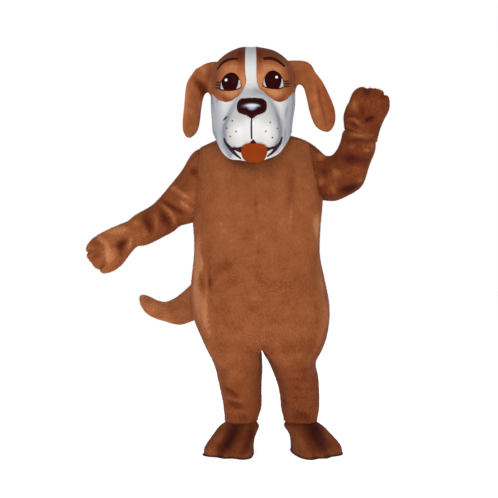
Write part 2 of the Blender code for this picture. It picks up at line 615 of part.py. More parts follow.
def suit_panel(name, side, at_back):
    """One quarter of the jumpsuit: a front or back of one side, from neck to ankle."""
    heights, columns = body_heights(side), PANEL_COLUMNS

    def place(i, j):
        height = heights[i]
        gap = armhole_around(side, height)
        start, end = (0.5 + gap, 1.0) if at_back else (0.0, 0.5 - gap)
        around = mix(start, end, j / (columns - 1))
        point, normal = body_point(side, height, around), body_normal(side, height, around)
        shift = {0: SEAM / 2, columns - 1: -SEAM / 2}.get(j, 0.0)
        centre_column = columns - 1 if at_back else 0
        if j == centre_column:
            shift = math.copysign(seam_allowance(height, at_back), shift)
        if shift:
            inner_around = around + math.copysign(SMALL_STEP, shift)
            along = (body_point(side, height, inner_around) - point).normalized()
            point = point + along * abs(shift)
        inside = point - normal * PLUSH
        if j == centre_column and height >= CROTCH - CLOSE:
            limit = seam_x(height) + side * seam_allowance(height, at_back)
            for each in (point, inside):
                each.x = max(each.x, limit) if side == LEFT else min(each.x, limit)
        return point, inside

    return cloth_wall(name, len(heights), columns, place, RUST)


# --- sleeves and mitts ------------------------------------------------------------------------------------


def ring_point(ring, turn):
    """A point on a section. turn 0 is its top, and a quarter turn its front."""
    top = Vector((ring.top_x, ring.y, ring.top_z))
    bottom = Vector((ring.bottom_x, ring.y, ring.bottom_z))
    middle = (top + bottom) / 2
    return middle + (top - middle) * math.cos(turn) + Vector((0, -ring.half_depth * math.sin(turn), 0))


def between_rings(rings, at):
    """The section at a place counted in sections, on a smooth curve."""
    table = [RingAt(i, *ring) for i, ring in enumerate(rings)]
    return Ring(*smooth_row(table, at)[1:])


def armhole_point(side, turn):
    hole = ARMHOLES[side]
    height = mix(hole.bottom, hole.top, (1 + math.cos(turn)) / 2)
    return height, 0.5 - hole.around * math.sin(turn)


def sleeve_point(side, at, turn):
    """A point of the sleeve's outer face: at counts sections from the armhole."""
    rings = SLEEVES[side]
    section = between_rings(rings, at)
    own = ring_point(section, turn)
    height, around = armhole_point(side, turn)
    edge = body_point(side, height, around)
    start = ring_point(rings[0], turn)
    point = own + (edge - start) * (1 - ease(at / SLEEVE_BLEND))
    outward = (point - ring_point(section, 0).lerp(ring_point(section, math.pi), 0.5)).normalized()
    fade = ease(at / FOLD_FADE) * ease(len(rings) - 1 - at)
    return point - outward * fade * fold_depth(SLEEVE_FOLDS[side], at * SECTION_LENGTH, turn * SLEEVE_RADIUS)


def sleeve(name, side):
    rings, columns = SLEEVES[side], 2 * ARMHOLE_STEPS + 1
    rows = round((len(rings) - 1) / SLEEVE_PITCH) + 1

    def place(i, j):
        turn = column_turn(j, columns)
        at = i * (len(rings) - 1) / (rows - 1)
        point = sleeve_point(side, at, turn)
        if i == 0:
            height, around = armhole_point(side, turn)
            centre = ring_point(rings[0], 0).lerp(ring_point(rings[0], math.pi), 0.5)
            normal = body_normal(side, height, around)
            inwards = centre - point
            inwards -= normal * inwards.dot(normal)
            point = point + inwards.normalized() * SEAM / 2
        else:
            normal = averaged_normal(lambda u, v: sleeve_point(side, v, u), turn, at, SMALL_TURN, SMALL_PART)
            normal = normal if side == LEFT else -normal
        return point, point - normal * PLUSH

    return cloth_wall(name, rows, columns, place, RUST)


def finger_groove(across):
    """1 in a groove between fingers or toes and 0 on them, at a place across from -1 to 1."""
    return max(math.exp(-(((abs(across) - FINGER_GROOVE) / GROOVE_WIDTH) ** 2)), 0.0)


def mitt_turns():
    """The turns of the mitt's columns: dense at the grooves."""
    front = [math.acos(place) for place in MITT_COLUMNS] + [math.pi / 2]
    front += [math.pi - turn for turn in reversed(front[:-1])]
    return front + [TURN - turn for turn in reversed(front[1:-1])]


def mitt_frame(side, at):
    """A mitt's section, its middle, its half width across the hand, and the way towards the fingers."""
    ring = between_rings(MITTS[side], min(at, len(MITTS[side]) - 1))
    top, bottom = ring_point(ring, 0), ring_point(ring, math.pi)
    across = (top - bottom) / 2
    forward = side * Vector((across.z, 0, -across.x)).normalized()
    return ring, (top + bottom) / 2, across.length, forward


def mitt_point(side, at, turn, inside=False):
    """A point of the mitt. Past the last section, at adds the end's degrees. The inside has no grooves."""
    last = len(MITTS[side]) - 1
    ring, middle, half_width, forward = mitt_frame(side, at)
    across = math.cos(turn)
    offset = ring_point(ring, turn) - middle
    fingers = ease((at - FINGERS_FROM) / FINGERS_LENGTH)
    angle = math.radians(min(max(at - last, 0.0), 90.0))
    shrink, thin, reach = 1.0, 1 - FINGER_DIP * finger_groove(across) * fingers, MITT_END
    notch = FINGER_NOTCH * finger_groove(across) * ease((math.pi / 2 - angle) / NOTCH_FADE)
    if inside:
        shrink = 1 - PLUSH / half_width
        thin = 1 - PLUSH / ring.half_depth - FINGER_DIP * fingers
        reach, notch = MITT_END - PLUSH - FINGER_NOTCH, 0.0
    end = max(math.cos(angle), 0.0)
    narrow, flatten = end**MITT_NARROW, end**MITT_FLATTEN
    offset = Vector((offset.x * shrink * narrow, offset.y * thin * flatten, offset.z * shrink * narrow))
    length = reach * math.sin(angle) * (1 - FINGERS_ROUND * (across * narrow) ** 2)
    return middle + offset + forward * (length - notch * math.sin(angle) ** 2)


def mitt(name, side):
    turns, last = mitt_turns(), len(MITTS[side]) - 1
    places = [last * i / MITT_ROWS for i in range(MITT_ROWS + 1)]
    places += [last + degrees for degrees in MITT_CAP_DEGREES]

    def place(i, j):
        turn = turns[j % len(turns)]
        return mitt_point(side, places[i], turn), mitt_point(side, places[i], turn, inside=True)

    return cloth_wall(name, len(places), len(turns) + 1, place, RUST)


# --- foot covers ------------------------------------------------------------------------------------------


def foot_edge(side, at):
    """The sole's outline at a place counted in its points, on a smooth closed curve."""
    edges = FOOT_EDGES[side]
    first = math.floor(at)
    t = at - first
    a, b, c, d = (Vector(edges[(first + k) % len(edges)]) for k in (-1, 0, 1, 2))
    bend, twist = a - 2.5 * b + 2 * c - d / 2, 1.5 * (b - c) + (d - a) / 2
    return b + t * (c - a) / 2 + t * t * bend + t**3 * twist


def foot_point(side, at, edge_at):
    row = smooth_row([FootRowAt(i, *row) for i, row in enumerate(FOOT_ROWS)], at)
    ankle, edge = Vector(ANKLES[side]), foot_edge(side, edge_at)
    turn = TURN * edge_at / len(FOOT_EDGES[side])
    round_ankle = ankle + row.ankle_radius * Vector((-side * math.sin(turn), math.cos(turn)))
    place = round_ankle.lerp(edge, row.reach)
    off = min(abs(edge_at - notch) for notch in TOE_NOTCHES)
    over_toes = ease((row.reach - DIP_FROM) / DIP_DEEPENS) * ease((row.height - DIP_LOW) / DIP_RISES)
    dip = TOE_DIP * max(0.0, 1 - off) * over_toes
    return Vector((place.x, place.y, row.height - dip))


def foot_cover(name, side):
    columns = EDGE_STEPS * len(FOOT_EDGES[side]) + 1

    def place(i, j):
        edge_at = (j % (columns - 1)) / EDGE_STEPS
        point = foot_point(side, i, edge_at)
        steps = 2 * SMALL_PART, 2 * SMALL_PART
        normal = averaged_normal(lambda u, v: foot_point(side, v, u), edge_at, i, *steps)
        normal = normal if normal.dot(point - Vector((*ANKLES[side], 0.0))) > 0 else -normal
        inside = point - normal * PLUSH
        if i == len(FOOT_ROWS) - 1:
            inside.z = point.z
        return point, inside

    return cloth_wall(name, len(FOOT_ROWS), columns, place, RUST)


def sole(name, side):
    """The flat grip sole under a foot cover."""
    curve = bpy.data.curves.new(name, "CURVE")
    curve.dimensions = "2D"
    curve.fill_mode = "BOTH"
    curve.extrude = SOLE / 2
    spline = curve.splines.new("POLY")
    count = EDGE_STEPS * len(FOOT_EDGES[side])
    spline.points.add(count - 1)
    for i, point in enumerate(spline.points):
        point.co = (*foot_edge(side, i / EDGE_STEPS), 0, 1)
    spline.use_cyclic_u = True
    item = place_object(bpy.data.objects.new(name, curve), SOLE_BROWN, SOLE_ROUGH)
    item.location.z = SOLE / 2
    return item


# --- the tail ---------------------------------------------------------------------------------------------


def way_along(table, at, step):
    """The direction of a table's middle line at a place."""
    ahead, behind = smooth_row(table, at + step), smooth_row(table, at - step)
    return (Vector((ahead.x, ahead.y, ahead.z)) - Vector((behind.x, behind.y, behind.z))).normalized()


def tube_frame(table, at):
    """A tube's row at a place along its table, its way forward and two directions across it."""
    row, forward = smooth_row(table, at), way_along(table, at, SMALL_PART)
    across = forward.cross(Vector((0, 0, 1))).normalized()
    return row, forward, across, across.cross(forward).normalized()


def tail(name, backs):
    """The stuffed tail: a solid whose root lies against the seat of the back panels."""
    rows, end = TAIL_ROWS, TAIL[-1].along

    def place(i, j):
        turn = column_turn(j, TAIL_COLUMNS)
        at = end * (max(i - 1, 0) / (rows - 3))
        row, forward, across, up = tube_frame(TAIL, min(at, end))
        middle = Vector((row.x, row.y, row.z))
        if i == rows - 1:
            return middle + forward * TAIL_TIP, middle
        offset = (across * math.cos(turn) + up * math.sin(turn)) * row.radius
        if i > 1:
            return middle + offset, middle
        start = middle + offset * i
        start.y = BEHIND
        hits = [each.ray_cast(start, Vector((0, -1, 0)))[0] for each in backs]
        hit = max((point for point in hits if point), key=lambda point: point.y)
        return hit + Vector((0, TAIL_CLEAR if i else TAIL_HOLLOW, 0)), middle

    bm, _ = grid(rows, TAIL_COLUMNS, place)
    return finish_mesh(bm, name, RUST)


def tree_of(item):
    """A ray-casting tree of a finished mesh object, in the tables' heights."""
    bm = bmesh.new()
    bm.from_mesh(item.data)
    tree = BVHTree.FromBMesh(bm)
    bm.free()
    return tree


# --- the zip ----------------------------------------------------------------------------------------------


def back_seam(height, sink=0.0):
    """The back seam's point at a height, sunk below the plush."""
    point = body_point(LEFT, height, 1.0)
    return Vector((seam_x(height), point.y - sink, height))


def zip_tape(name):
    """The tape, whose outer face shows the closed teeth."""
    half = ZIP_GAP - SEAM

    def place(i, j):
        height = mix(ZIP_TOP, ZIP_BOTTOM + SEAM, i / (ZIP_ROWS - 1))
        middle = back_seam(height, ZIP_SINK)
        outside = middle + Vector((half * (j - 1), 0, 0))
        return outside, outside - Vector((0, ZIP_TAPE, 0))

    return cloth_wall(name, ZIP_ROWS, 3, place, BLACK, TAPE_ROUGH)


def metal_block(name, size, middle, lean):
    """A small metal block with bevelled edges, leant back about X."""
    bm = bmesh.new()
    bmesh.ops.create_cube(bm, size=1.0)
    bmesh.ops.scale(bm, vec=size, verts=bm.verts[:])
    bevel = min(size) * METAL_BEVEL
    bmesh.ops.bevel(bm, geom=bm.edges[:], offset=bevel, offset_type="OFFSET", segments=1, affect="EDGES")
    bmesh.ops.rotate(bm, matrix=Matrix.Rotation(lean, 3, "X"), verts=bm.verts[:])
    bmesh.ops.translate(bm, vec=middle, verts=bm.verts[:])
    return finish_mesh(bm, name, GREY, METAL_ROUGH, 1.0)


def zip_down():
    """The direction down the zip at its slider, and its lean about X from the vertical."""
    down = (back_seam(SLIDER_HEIGHT - PULL[2]) - back_seam(SLIDER_HEIGHT)).normalized()
    return down, math.atan2(down.y, -down.z)


def pull_hinge():
    """The pull tab's axis, which runs along X just behind the slider."""
    down, lean = zip_down()
    outward = Vector((0, math.cos(lean), math.sin(lean)))
    lift = SLIDER_CLEAR + SLIDER[1] + PULL_CLEAR
    return back_seam(SLIDER_HEIGHT, ZIP_SINK) + outward * lift - down * PULL_EYE


def zip_slider(name):
    """The slider on the tape."""
    lean = zip_down()[1]
    outward = Vector((0, math.cos(lean), math.sin(lean)))
    middle = back_seam(SLIDER_HEIGHT, ZIP_SINK) + outward * (SLIDER_CLEAR + SLIDER[1] / 2)
    return metal_block(name, SLIDER, middle, lean)


def zip_pull(name):
    """The pull tab, lying down the zip from the slider."""
    down, lean = zip_down()
    return metal_block(name, PULL, pull_hinge() + down * (PULL[2] / 2 - PULL_EYE), lean)


# --- the head ---------------------------------------------------------------------------------------------


def swelling(swell, x, z):
    """A dome's forward reach at a place seen from the front."""
    off = ((x - swell.x) / swell.half_width) ** 2 + ((z - swell.z) / swell.half_height) ** 2
    return swell.forward * max(0.0, 1 - off) ** SWELL_POWER


def softly_greater(a, b):
    """The greater of two forward reaches, with the crease between them rounded."""
    near = max(SOFTNESS - abs(a - b), 0.0) / SOFTNESS
    return max(a, b) + near * near * SOFTNESS / 4


def bridge_forward(x, z):
    """How far the muzzle's bridge and the floor of the mouth are pushed forward."""
    if not BRIDGE[0].height < z < BRIDGE[-1].height:
        return 0.0
    row = smooth_row(BRIDGE, z)
    return max(0.0, row.forward) * max(0.0, 1 - abs(x / row.half_width) ** BRIDGE_POWER)


def muzzle_forward(x, z):
    """How far the face is pushed forward at a place seen from the front: bridge, flews and lower jaw."""
    lip = LIP_MIDDLE + LIP_RISE * x * x
    jaw = swelling(JAW, x, z) * ease((lip - z) / LIP_ROLL + 1)
    return softly_greater(softly_greater(bridge_forward(x, z), swelling(FLEW, abs(x), z)), jaw)


def head_base(azimuth, polar):
    """The plain ovoid. azimuth 0 is the front, and polar 0 the top, in radians."""
    flat = math.sin(polar)
    way = Vector((flat * math.sin(azimuth), -flat * math.cos(azimuth), math.cos(polar)))
    depth = HEAD_FRONT if way.y < 0 else HEAD_BACK
    tall = HEAD_ABOVE if way.z > 0 else HEAD_BELOW
    shares = (way.x / HEAD_HALF_WIDTH, way.y / depth, way.z / tall)
    stretch = sum(abs(share) ** HEAD_POWER for share in shares)
    return HEAD_CENTRE + way * stretch ** (-1 / HEAD_POWER)


def rim_polar(azimuth):
    """The polar angle at which the ovoid reaches the head's bottom rim."""
    height = smooth_row(HEAD_RIM, abs(math.degrees(azimuth))).height
    low, high = math.radians(95), math.radians(178)
    for _ in range(RIM_HALVINGS):
        middle = (low + high) / 2
        low, high = (middle, high) if head_base(azimuth, middle).z > height else (low, middle)
    return low


def head_point(azimuth, share, forward=muzzle_forward):
    """A point of the head: share runs from the top (0) to the rim (1)."""
    azimuth = (azimuth + math.pi) % TURN - math.pi
    point = head_base(azimuth, share * rim_polar(azimuth))
    point.y -= forward(point.x, point.z) * ease(math.cos(azimuth) * FRONT_FADE)
    low = ease((NAPE_TOP - point.z) / NAPE_LENGTH)
    point.y -= NAPE * low * ease(-math.cos(azimuth) * BACK_FADE)
    return point


def head_inside(azimuth, share):
    """A point of the head's plain inside, which follows the bridge but not the flews, lip and chin."""
    if share == 0:
        return head_point(0, 0) - Vector((0, 0, SHELL))

    def plain(a, b):
        return head_point(a, b, bridge_forward)

    point = plain(azimuth, share)
    normal = averaged_normal(plain, azimuth, share, SMALL_TURN, SMALL_SHARE)
    normal = normal if normal.dot(point - HEAD_CENTRE) > 0 else -normal
    return point - normal * SHELL


def head_turns():
    """The azimuths of the head's columns."""
    fine = range(-HEAD_FRONT_SPAN, HEAD_FRONT_SPAN, HEAD_FRONT_STEP)
    coarse = range(HEAD_FRONT_SPAN, 360 - HEAD_FRONT_SPAN, HEAD_BACK_STEP)
    return [math.radians(degrees) for degrees in [*fine, *coarse]]


def head_wall(name, colour):
    """The head's whole moulded wall, with its cover."""
    turns = head_turns()

    def place(i, j):
        azimuth, share = turns[j % len(turns)], HEAD_ROWS[i]
        return head_point(azimuth, share), head_inside(azimuth, share)

    return cloth_wall(name, len(HEAD_ROWS), len(turns) + 1, place, colour)


def outline_block(name, points, low_y, high_y):
    """A closed block with the given outline on X and Z, from one Y to another."""
    bm = bmesh.new()
    verts = [bm.verts.new((x, low_y, z)) for x, z in points]
    face = bm.faces.new(verts)
    made = bmesh.ops.extrude_face_region(bm, geom=[face], use_keep_orig=True)
    far_end = [part for part in made["geom"] if isinstance(part, bmesh.types.BMVert)]
    bmesh.ops.translate(bm, vec=(0, high_y - low_y, 0), verts=far_end)
    bmesh.ops.recalc_face_normals(bm, faces=bm.faces[:])
    mesh = bpy.data.meshes.new(name)
    bm.to_mesh(mesh)
    bm.free()
    item = bpy.data.objects.new(name, mesh)
    item.hide_render = True
    item.display_type = "WIRE"
    item.parent = ORIGIN
    CUTTERS.objects.link(item)
    return item


def grown(outline, by):
    """The outline moved to its left-hand side, the upper side of one that runs towards +X."""
    moved = []
    for i, point in enumerate(outline):
        before, after = outline[max(i - 1, 0)], outline[min(i + 1, len(outline) - 1)]
        along = Vector((after.x - before.x, after.z - before.z)).normalized()
        moved.append(Outline(point.x - along.y * by, point.z + along.x * by))
    return moved


def mirrored(outline):
    """The whole outline of a shape given for its half at +X."""
    return list(outline) + [Outline(-x, z) for x, z in reversed(outline) if x > 0]


def face_cutter(name, grow):
    """A block that holds the white cheeks and the blaze, grown by a seam where the crown is cut."""
    ring = mirrored([*grown(FACE_EDGE, grow), FACE_LOW_CORNER])
    cheeks = outline_block(f"cheeks_{name}", ring, BEFORE, FACE_BACK + grow)
    blaze = FACE_EDGE[0].x + grow
    strip = mirrored([Outline(blaze, BLAZE_FOOT), Outline(blaze, BLAZE_TOP)])
    top = outline_block(f"blaze_{name}", strip, FACE_BACK - BLAZE_LAP, BLAZE_BACK + grow)
    cut(cheeks, [top], "UNION")
    return cheeks


def cut(item, cutters, operation):
    """Cuts a mesh object by others, with Boolean modifiers left on it."""
    for cutter in cutters:
        modifier = item.modifiers.new(cutter.name, "BOOLEAN")
        modifier.operation = operation
        modifier.object = cutter
        modifier.solver = "EXACT"


def head_covers():
    """The white face with its blaze, and the brown crown round it, both cut from the whole wall."""
    face = head_wall("head_face", CREAM)
    cut(face, [face_cutter("face", 0.0)], "INTERSECT")
    crown = head_wall("head_crown", RUST)
    cut(crown, [face_cutter("crown", SEAM)], "DIFFERENCE")


def mouth_lining(name):
    """The dark cloth of the mouth, made from the face's points between flews and lower lip, moved out."""
    turns = [turn for turn in head_turns() if abs(turn) < LINING_SPAN]

    def place(i, j):
        point = head_point(turns[j], LINING_ROWS[i])
        return point - Vector((0, LINING_CLEAR + LINING, 0)), point - Vector((0, LINING_CLEAR, 0))

    lining = cloth_wall(name, len(LINING_ROWS), len(turns), place, BLACK)
    cut(lining, [outline_block("mouth_edge", mirrored(MOUTH_EDGE), BEFORE, MUZZLE_BACK)], "INTERSECT")


def front_of(tree, x, z):
    """The point of the shell at a place seen from the front, or None beside it."""
    return tree.ray_cast(Vector((x, RAY_START, z)), Vector((0, 1, 0)))[0]


def face_piece(name, rings, columns, back_point, rise, colour, roughness):
    """A piece on the face. back_point gives its back's point at a radius and turn, and its front swells."""

    def place(i, j):
        rho = math.sin(math.pi / 2 * min(i, 2 * rings - i) / rings)
        back = back_point(rho, column_turn(j, columns))
        if i <= rings:
            return back, back
        return back - Vector((0, EDGE + rise * math.sqrt(1 - rho * rho), 0)), back

    bm, _ = grid(2 * rings + 1, columns, place)
    return finish_mesh(bm, name, colour, roughness)


def eye(name, side, tree):
    """A domed eye that lies on the face."""
    spot = EYES[side]

    def on_shell(rho, turn):
        x = spot.x + spot.half_width * rho * rounded(math.cos(turn), EYE_POWER)
        z = spot.z + spot.half_height * rho * rounded(math.sin(turn), EYE_POWER)
        return front_of(tree, x, z) - Vector((0, LIE, 0))

    return face_piece(name, EYE_RINGS, PATCH_COLUMNS, on_shell, spot.rise, BLACK, EYE_ROUGH)


def nose(name, tree):
    """The nose: wide above, and drawn to a blunt point below."""

    def on_shell(rho, turn):
        across, up = rounded(math.cos(turn), NOSE_POWER), rounded(math.sin(turn), NOSE_POWER)
        narrow = 1 - NOSE_POINT * max(0.0, -up) ** NOSE_TAPER
        x, z = NOSE.x + NOSE.half_width * rho * across * narrow, NOSE.z + NOSE.half_height * rho * up
        return front_of(tree, x, z) - Vector((0, NOSE_CLEAR, 0))

    return face_piece(name, PATCH_RINGS, NOSE_COLUMNS, on_shell, NOSE.rise, BLACK, NOSE_ROUGH)


def tongue(name, tree):
    """The tongue: it comes out under the flews and hangs over the lower lip, down to the chin."""

    def over_lip(rho, turn):
        along = rounded(math.sin(turn), TONGUE_POWER) * rho
        wide = TONGUE.half_width * (1 + TONGUE_TAPER * along)
        x = TONGUE.x + wide * rho * rounded(math.cos(turn), TONGUE_POWER)
        z = TONGUE.z + TONGUE.half_height * along
        bridging = TONGUE_CURL * (z - TONGUE_CREST) ** 2 + TONGUE_BEND * (x - TONGUE.x) ** 2 - TONGUE_FORWARD
        hit = front_of(tree, x, z)
        return Vector((x, min(bridging, hit.y - TONGUE_CLEAR) if hit else bridging, z))

    return face_piece(name, PATCH_RINGS, PATCH_COLUMNS, over_lip, TONGUE.rise, AMBER, TONGUE_ROUGH)


def ear(name, side, tree):
    """A plush ear: two layers sewn together, flat with rounded edges, with its root against the head."""
    table, rows = EARS[side], EAR_ROWS
    end = table[-1].along

    def place(i, j):
        turn = column_turn(j, EAR_COLUMNS)
        at = end * max(i - 1, 0) / (rows - 3)
        row, forward = smooth_row(table, min(at, end)), way_along(table, at, 2 * SMALL_PART)
        tilt, about = math.radians(row.tilt), math.radians(row.turn)
        level = math.cos(tilt)
        wide = Vector((side * level * math.cos(about), -level * math.sin(about), math.sin(tilt)))
        thick = wide.cross(forward).normalized()
        middle = Vector((row.x, row.y, row.z))
        if i == rows - 1:
            return middle + forward * EAR_TIP, middle
        offset = wide * row.half_width * math.cos(turn)
        offset += thick * row.half_thick * rounded(math.sin(turn), EAR_POWER)
        point = middle + offset * min(i, 1)
        if i > 1:
            return point, middle
        hit = tree.ray_cast(Vector((side * BESIDE, point.y, point.z)), Vector((-side, 0, 0)))[0]
        return hit + Vector((side * (LIE if i else EAR_HOLLOW), 0, 0)), middle

    bm, _ = grid(rows, EAR_COLUMNS, place)
    return finish_mesh(bm, name, RUST)


# --- the whole costume ------------------------------------------------------------------------------------


def new_collection(name):
    collection = bpy.data.collections.new(name)
    bpy.context.scene.collection.children.link(collection)
    return collection


def build_suit():
    suit_panel("suit_front_right", RIGHT, False)
    suit_panel("suit_front_left", LEFT, False)
    backs = [suit_panel("suit_back_right", RIGHT, True), suit_panel("suit_back_left", LEFT, True)]
    sleeve("sleeve_right", RIGHT)
    sleeve("sleeve_left", LEFT)
    tail("tail", [tree_of(back) for back in backs])
    zip_tape("zip_tape")
    zip_slider("zip_slider")
    zip_pull("zip_pull_tab")


def build_ends():
    for side, word in SIDES:
        mitt(f"mitt_{word}", side)
        foot_cover(f"foot_cover_{word}", side)
        sole(f"foot_sole_{word}", side)


def build_head():
    head_covers()
    whole = head_wall("head_whole", CREAM)
    tree = tree_of(whole)
    nose("nose", tree)
    for side, word in SIDES:
        eye(f"eye_{word}", side, tree)
        ear(f"ear_{word}", side, tree)
    mouth_lining("mouth_lining")
    tongue("tongue", tree)
    bpy.data.objects.remove(whole)


def build():
    build_suit()
    build_ends()
    build_head()


for old in list(bpy.data.objects):
    bpy.data.objects.remove(old)
COLLECTION, CUTTERS = new_collection("dog_mascot_costume"), new_collection("cutters")
ORIGIN = bpy.data.objects.new("wearer_shoulders", None)
ORIGIN.location.z = -HELD_HEIGHT
COLLECTION.objects.link(ORIGIN)
build()
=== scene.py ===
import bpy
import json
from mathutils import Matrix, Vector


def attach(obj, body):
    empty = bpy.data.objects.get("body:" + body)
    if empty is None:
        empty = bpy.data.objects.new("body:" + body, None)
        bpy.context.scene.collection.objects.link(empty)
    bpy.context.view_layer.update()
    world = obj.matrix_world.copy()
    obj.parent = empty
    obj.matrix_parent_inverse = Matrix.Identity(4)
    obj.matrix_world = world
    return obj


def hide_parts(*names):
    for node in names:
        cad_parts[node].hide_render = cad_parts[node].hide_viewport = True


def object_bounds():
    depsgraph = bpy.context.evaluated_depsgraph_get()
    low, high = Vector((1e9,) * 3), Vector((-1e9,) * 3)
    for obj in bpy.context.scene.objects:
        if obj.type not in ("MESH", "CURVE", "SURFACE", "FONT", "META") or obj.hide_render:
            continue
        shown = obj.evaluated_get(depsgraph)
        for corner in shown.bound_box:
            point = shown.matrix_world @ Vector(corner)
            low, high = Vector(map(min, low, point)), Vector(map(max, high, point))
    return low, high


bl_info = {
    "name": "Dog mascot costume",
    "version": (1, 0, 0),
    "blender": (4, 5, 0),
    "location": "View3D > Sidebar > Costume",
    "description": "Plush body, sculpted head, zip and soles of a dog mascot costume",
    "category": "Object",
}

import json
import math

import bmesh
import bpy
import numpy as np
from bpy.props import FloatProperty, FloatVectorProperty, PointerProperty
from mathutils import Matrix, Vector, noise
from mathutils.bvhtree import BVHTree
from mathutils.kdtree import KDTree

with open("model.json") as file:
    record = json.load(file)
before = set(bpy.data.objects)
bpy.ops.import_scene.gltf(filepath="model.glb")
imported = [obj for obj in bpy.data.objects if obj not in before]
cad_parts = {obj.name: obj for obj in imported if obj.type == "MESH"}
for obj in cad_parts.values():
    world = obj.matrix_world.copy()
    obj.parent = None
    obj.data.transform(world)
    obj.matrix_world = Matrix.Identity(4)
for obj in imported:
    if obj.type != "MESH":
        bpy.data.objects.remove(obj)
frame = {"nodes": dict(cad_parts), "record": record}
CAD_BOX = [list(corner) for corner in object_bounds()]

# The dyes run from the darkest brown to the white of the face, in one row, so that a place on the
# cloth needs a single number, its shade, and tufts and cloth agree on what it means. The shade holds
# the cloth's own colour, and also painted shade in its creases and painted light on its ridges.
DYES = (
    (0.060, 0.0065, 0.0030),
    (0.105, 0.0200, 0.0088),
    (0.176, 0.0370, 0.0100),
    (0.270, 0.0720, 0.0220),
    (0.380, 0.1190, 0.0400),
    (0.570, 0.2260, 0.0950),
    (0.290, 0.3150, 0.3800),
    (0.750, 0.7450, 0.7300),
)
TOP_SHADE = len(DYES) - 1
PALEST_DYE, PALEST_PLUSH, PALEST_EAR = 5, 5.2, 5.0  # the palest brown, and the limits of the shades
DULL = 0.12  # how much a finish mirrors, unless it says otherwise

SKIN_SINK = 0.0028  # how far the backing cloth lies under the outside of the pile
VELOUR_SINK, VELOUR_THICKNESS = 0.0006, 0.004
SEAM_LAP = 0.0022  # how far a panel laps the one that it is sewn to
CUFF_PULL, CUFF_REACH = 0.0072, 0.032
HEM_PULL, HEM_REACH, HEM_LEVEL = 0.0030, 0.026, -1.252
SOLE_TOP, SOLE_FADE = -1.395, 0.004  # the pile ends here, above the soles
MM = 0.001
SHARP, CORNER = math.radians(50), 0.8  # an edge that bends more keeps its corner, by this share
FLAT_PAIR, SQUARE_PAIR = math.radians(60), math.radians(80)  # how alike two triangles must be
CROSSING = 0.8  # how closely an edge follows a face's normal where it crosses a wall
HEAD_HALF, HEAD_DEPTH = 0.190, 0.195  # the head's half width, and how far its front curves back
# the painted shade in the arms' creases and the painted light on their ridges are made stronger by these
ARM_DARKS, ARM_LIGHTS = 1.7, 1.25  # how much stronger the folds of the arms are shaded
DEEPEST_FOLD, HIGHEST_RIDGE = -0.013, 0.006
# limits of the painted shade in the creases and of the painted light on the ridges
DARKEST_FOLD, LIGHTEST_RIDGE = -3.0, 1.6
FOLD_FACING = (-0.05, 0.55)  # how squarely the cloth faces a fold's side where it starts and is full
FOLD_ENDS, FOLD_TAPER, NARROWEST, WIDENING = (0.04, 0.96), 0.6, 0.75, 0.5
# Uneven patches: the size, strength and seed of each layer in the shade, and the same for the
# length of the pile and for its nap.
NOISE_STEPS, NOISE_REACH = (3.1, 7.7, 1.3), 1.6
PATCHES = ((0.055, 0.32, 10), (0.015, 0.14, 15))
PILE_PATCHES, PILE_LENGTHS, PILE_SEED = 0.02, (0.9, 0.1), 19
NAP_SWIRL, NAP_PATCHES, NAP_SEEDS = 0.45, 0.06, (21, 22, 23)
TUFT_TAPER, TUFT_TIP, TUFT_ROOT = 0.15, 0.9, 0.0008
TUFT_RISE, TUFT_DROOP = 1.35, 0.55
PILE_DENSITY = 130000.0  # tufts on a square metre before those that stand too close are dropped
PILE_SWAY, PILE_STRAY = 0.42, 0.42  # how far a tuft leans and is dyed away from its neighbours
PILE_SHORTEST, PILE_LONGEST = 0.72, 1.18
LINE_LIFT, FELT_THICKNESS, LINE_STEPS = 0.0010, 0.0016, 14
DOT_SIZE, DOT_SIDES = 0.0029, 10
OUTLINE_STEPS, OUTLINE_WINDOW, OUTLINE_CORE = 49, 0.14, 0.7
TOOTH_PITCH = 0.0026
TOOTH_SIZE = (0.0024, 0.0016, 0.0011)
TOOTH_OFFSET, TOOTH_RISE, TOOTH_MARGIN = 0.0009, 0.0003, 0.004
STUD_SCALE, STUD_EDGE, STUD_HEIGHT = 110.0, (0.2, 0.55), 0.001
STUD_TOP, STUD_GAP = (0.090, 0.034, 0.020), (0.042, 0.016, 0.010)
MOTTLE_CONTRAST, MOTTLE_MIDDLE = 1.6, 0.5
SPOT_DEPTH = 1000.0  # half the depth of a painted spot, which runs right through the head
FLOOR_DROP, FLOOR_GLOW = 0.0005, 0.64
# each lamp's name, place, size and share of the key light's power
LAMPS = (
    ("key", (-1.6, -4.2, 2.2), 2.6, 1.0),
    ("fill", (2.4, -3.8, 0.8), 2.4, 0.45),
    ("back_right", (-2.8, 3.8, 1.8), 2.4, 0.6),
    ("back_left", (2.8, 3.8, 1.8), 2.4, 0.6),
)
LAMP_AIM = (0, 0, -0.3)
CAMERA_PLACE, CAMERA_LENS, CAMERA_SENSOR, CAMERA_SHIFT = (-0.018, -5.0, -0.40), 80.3, 36.0, -0.041

# What one operator makes for the next: node groups and tufts, finishes, and the covered head.
TREES, PAINT, HEAD = {}, {}, []
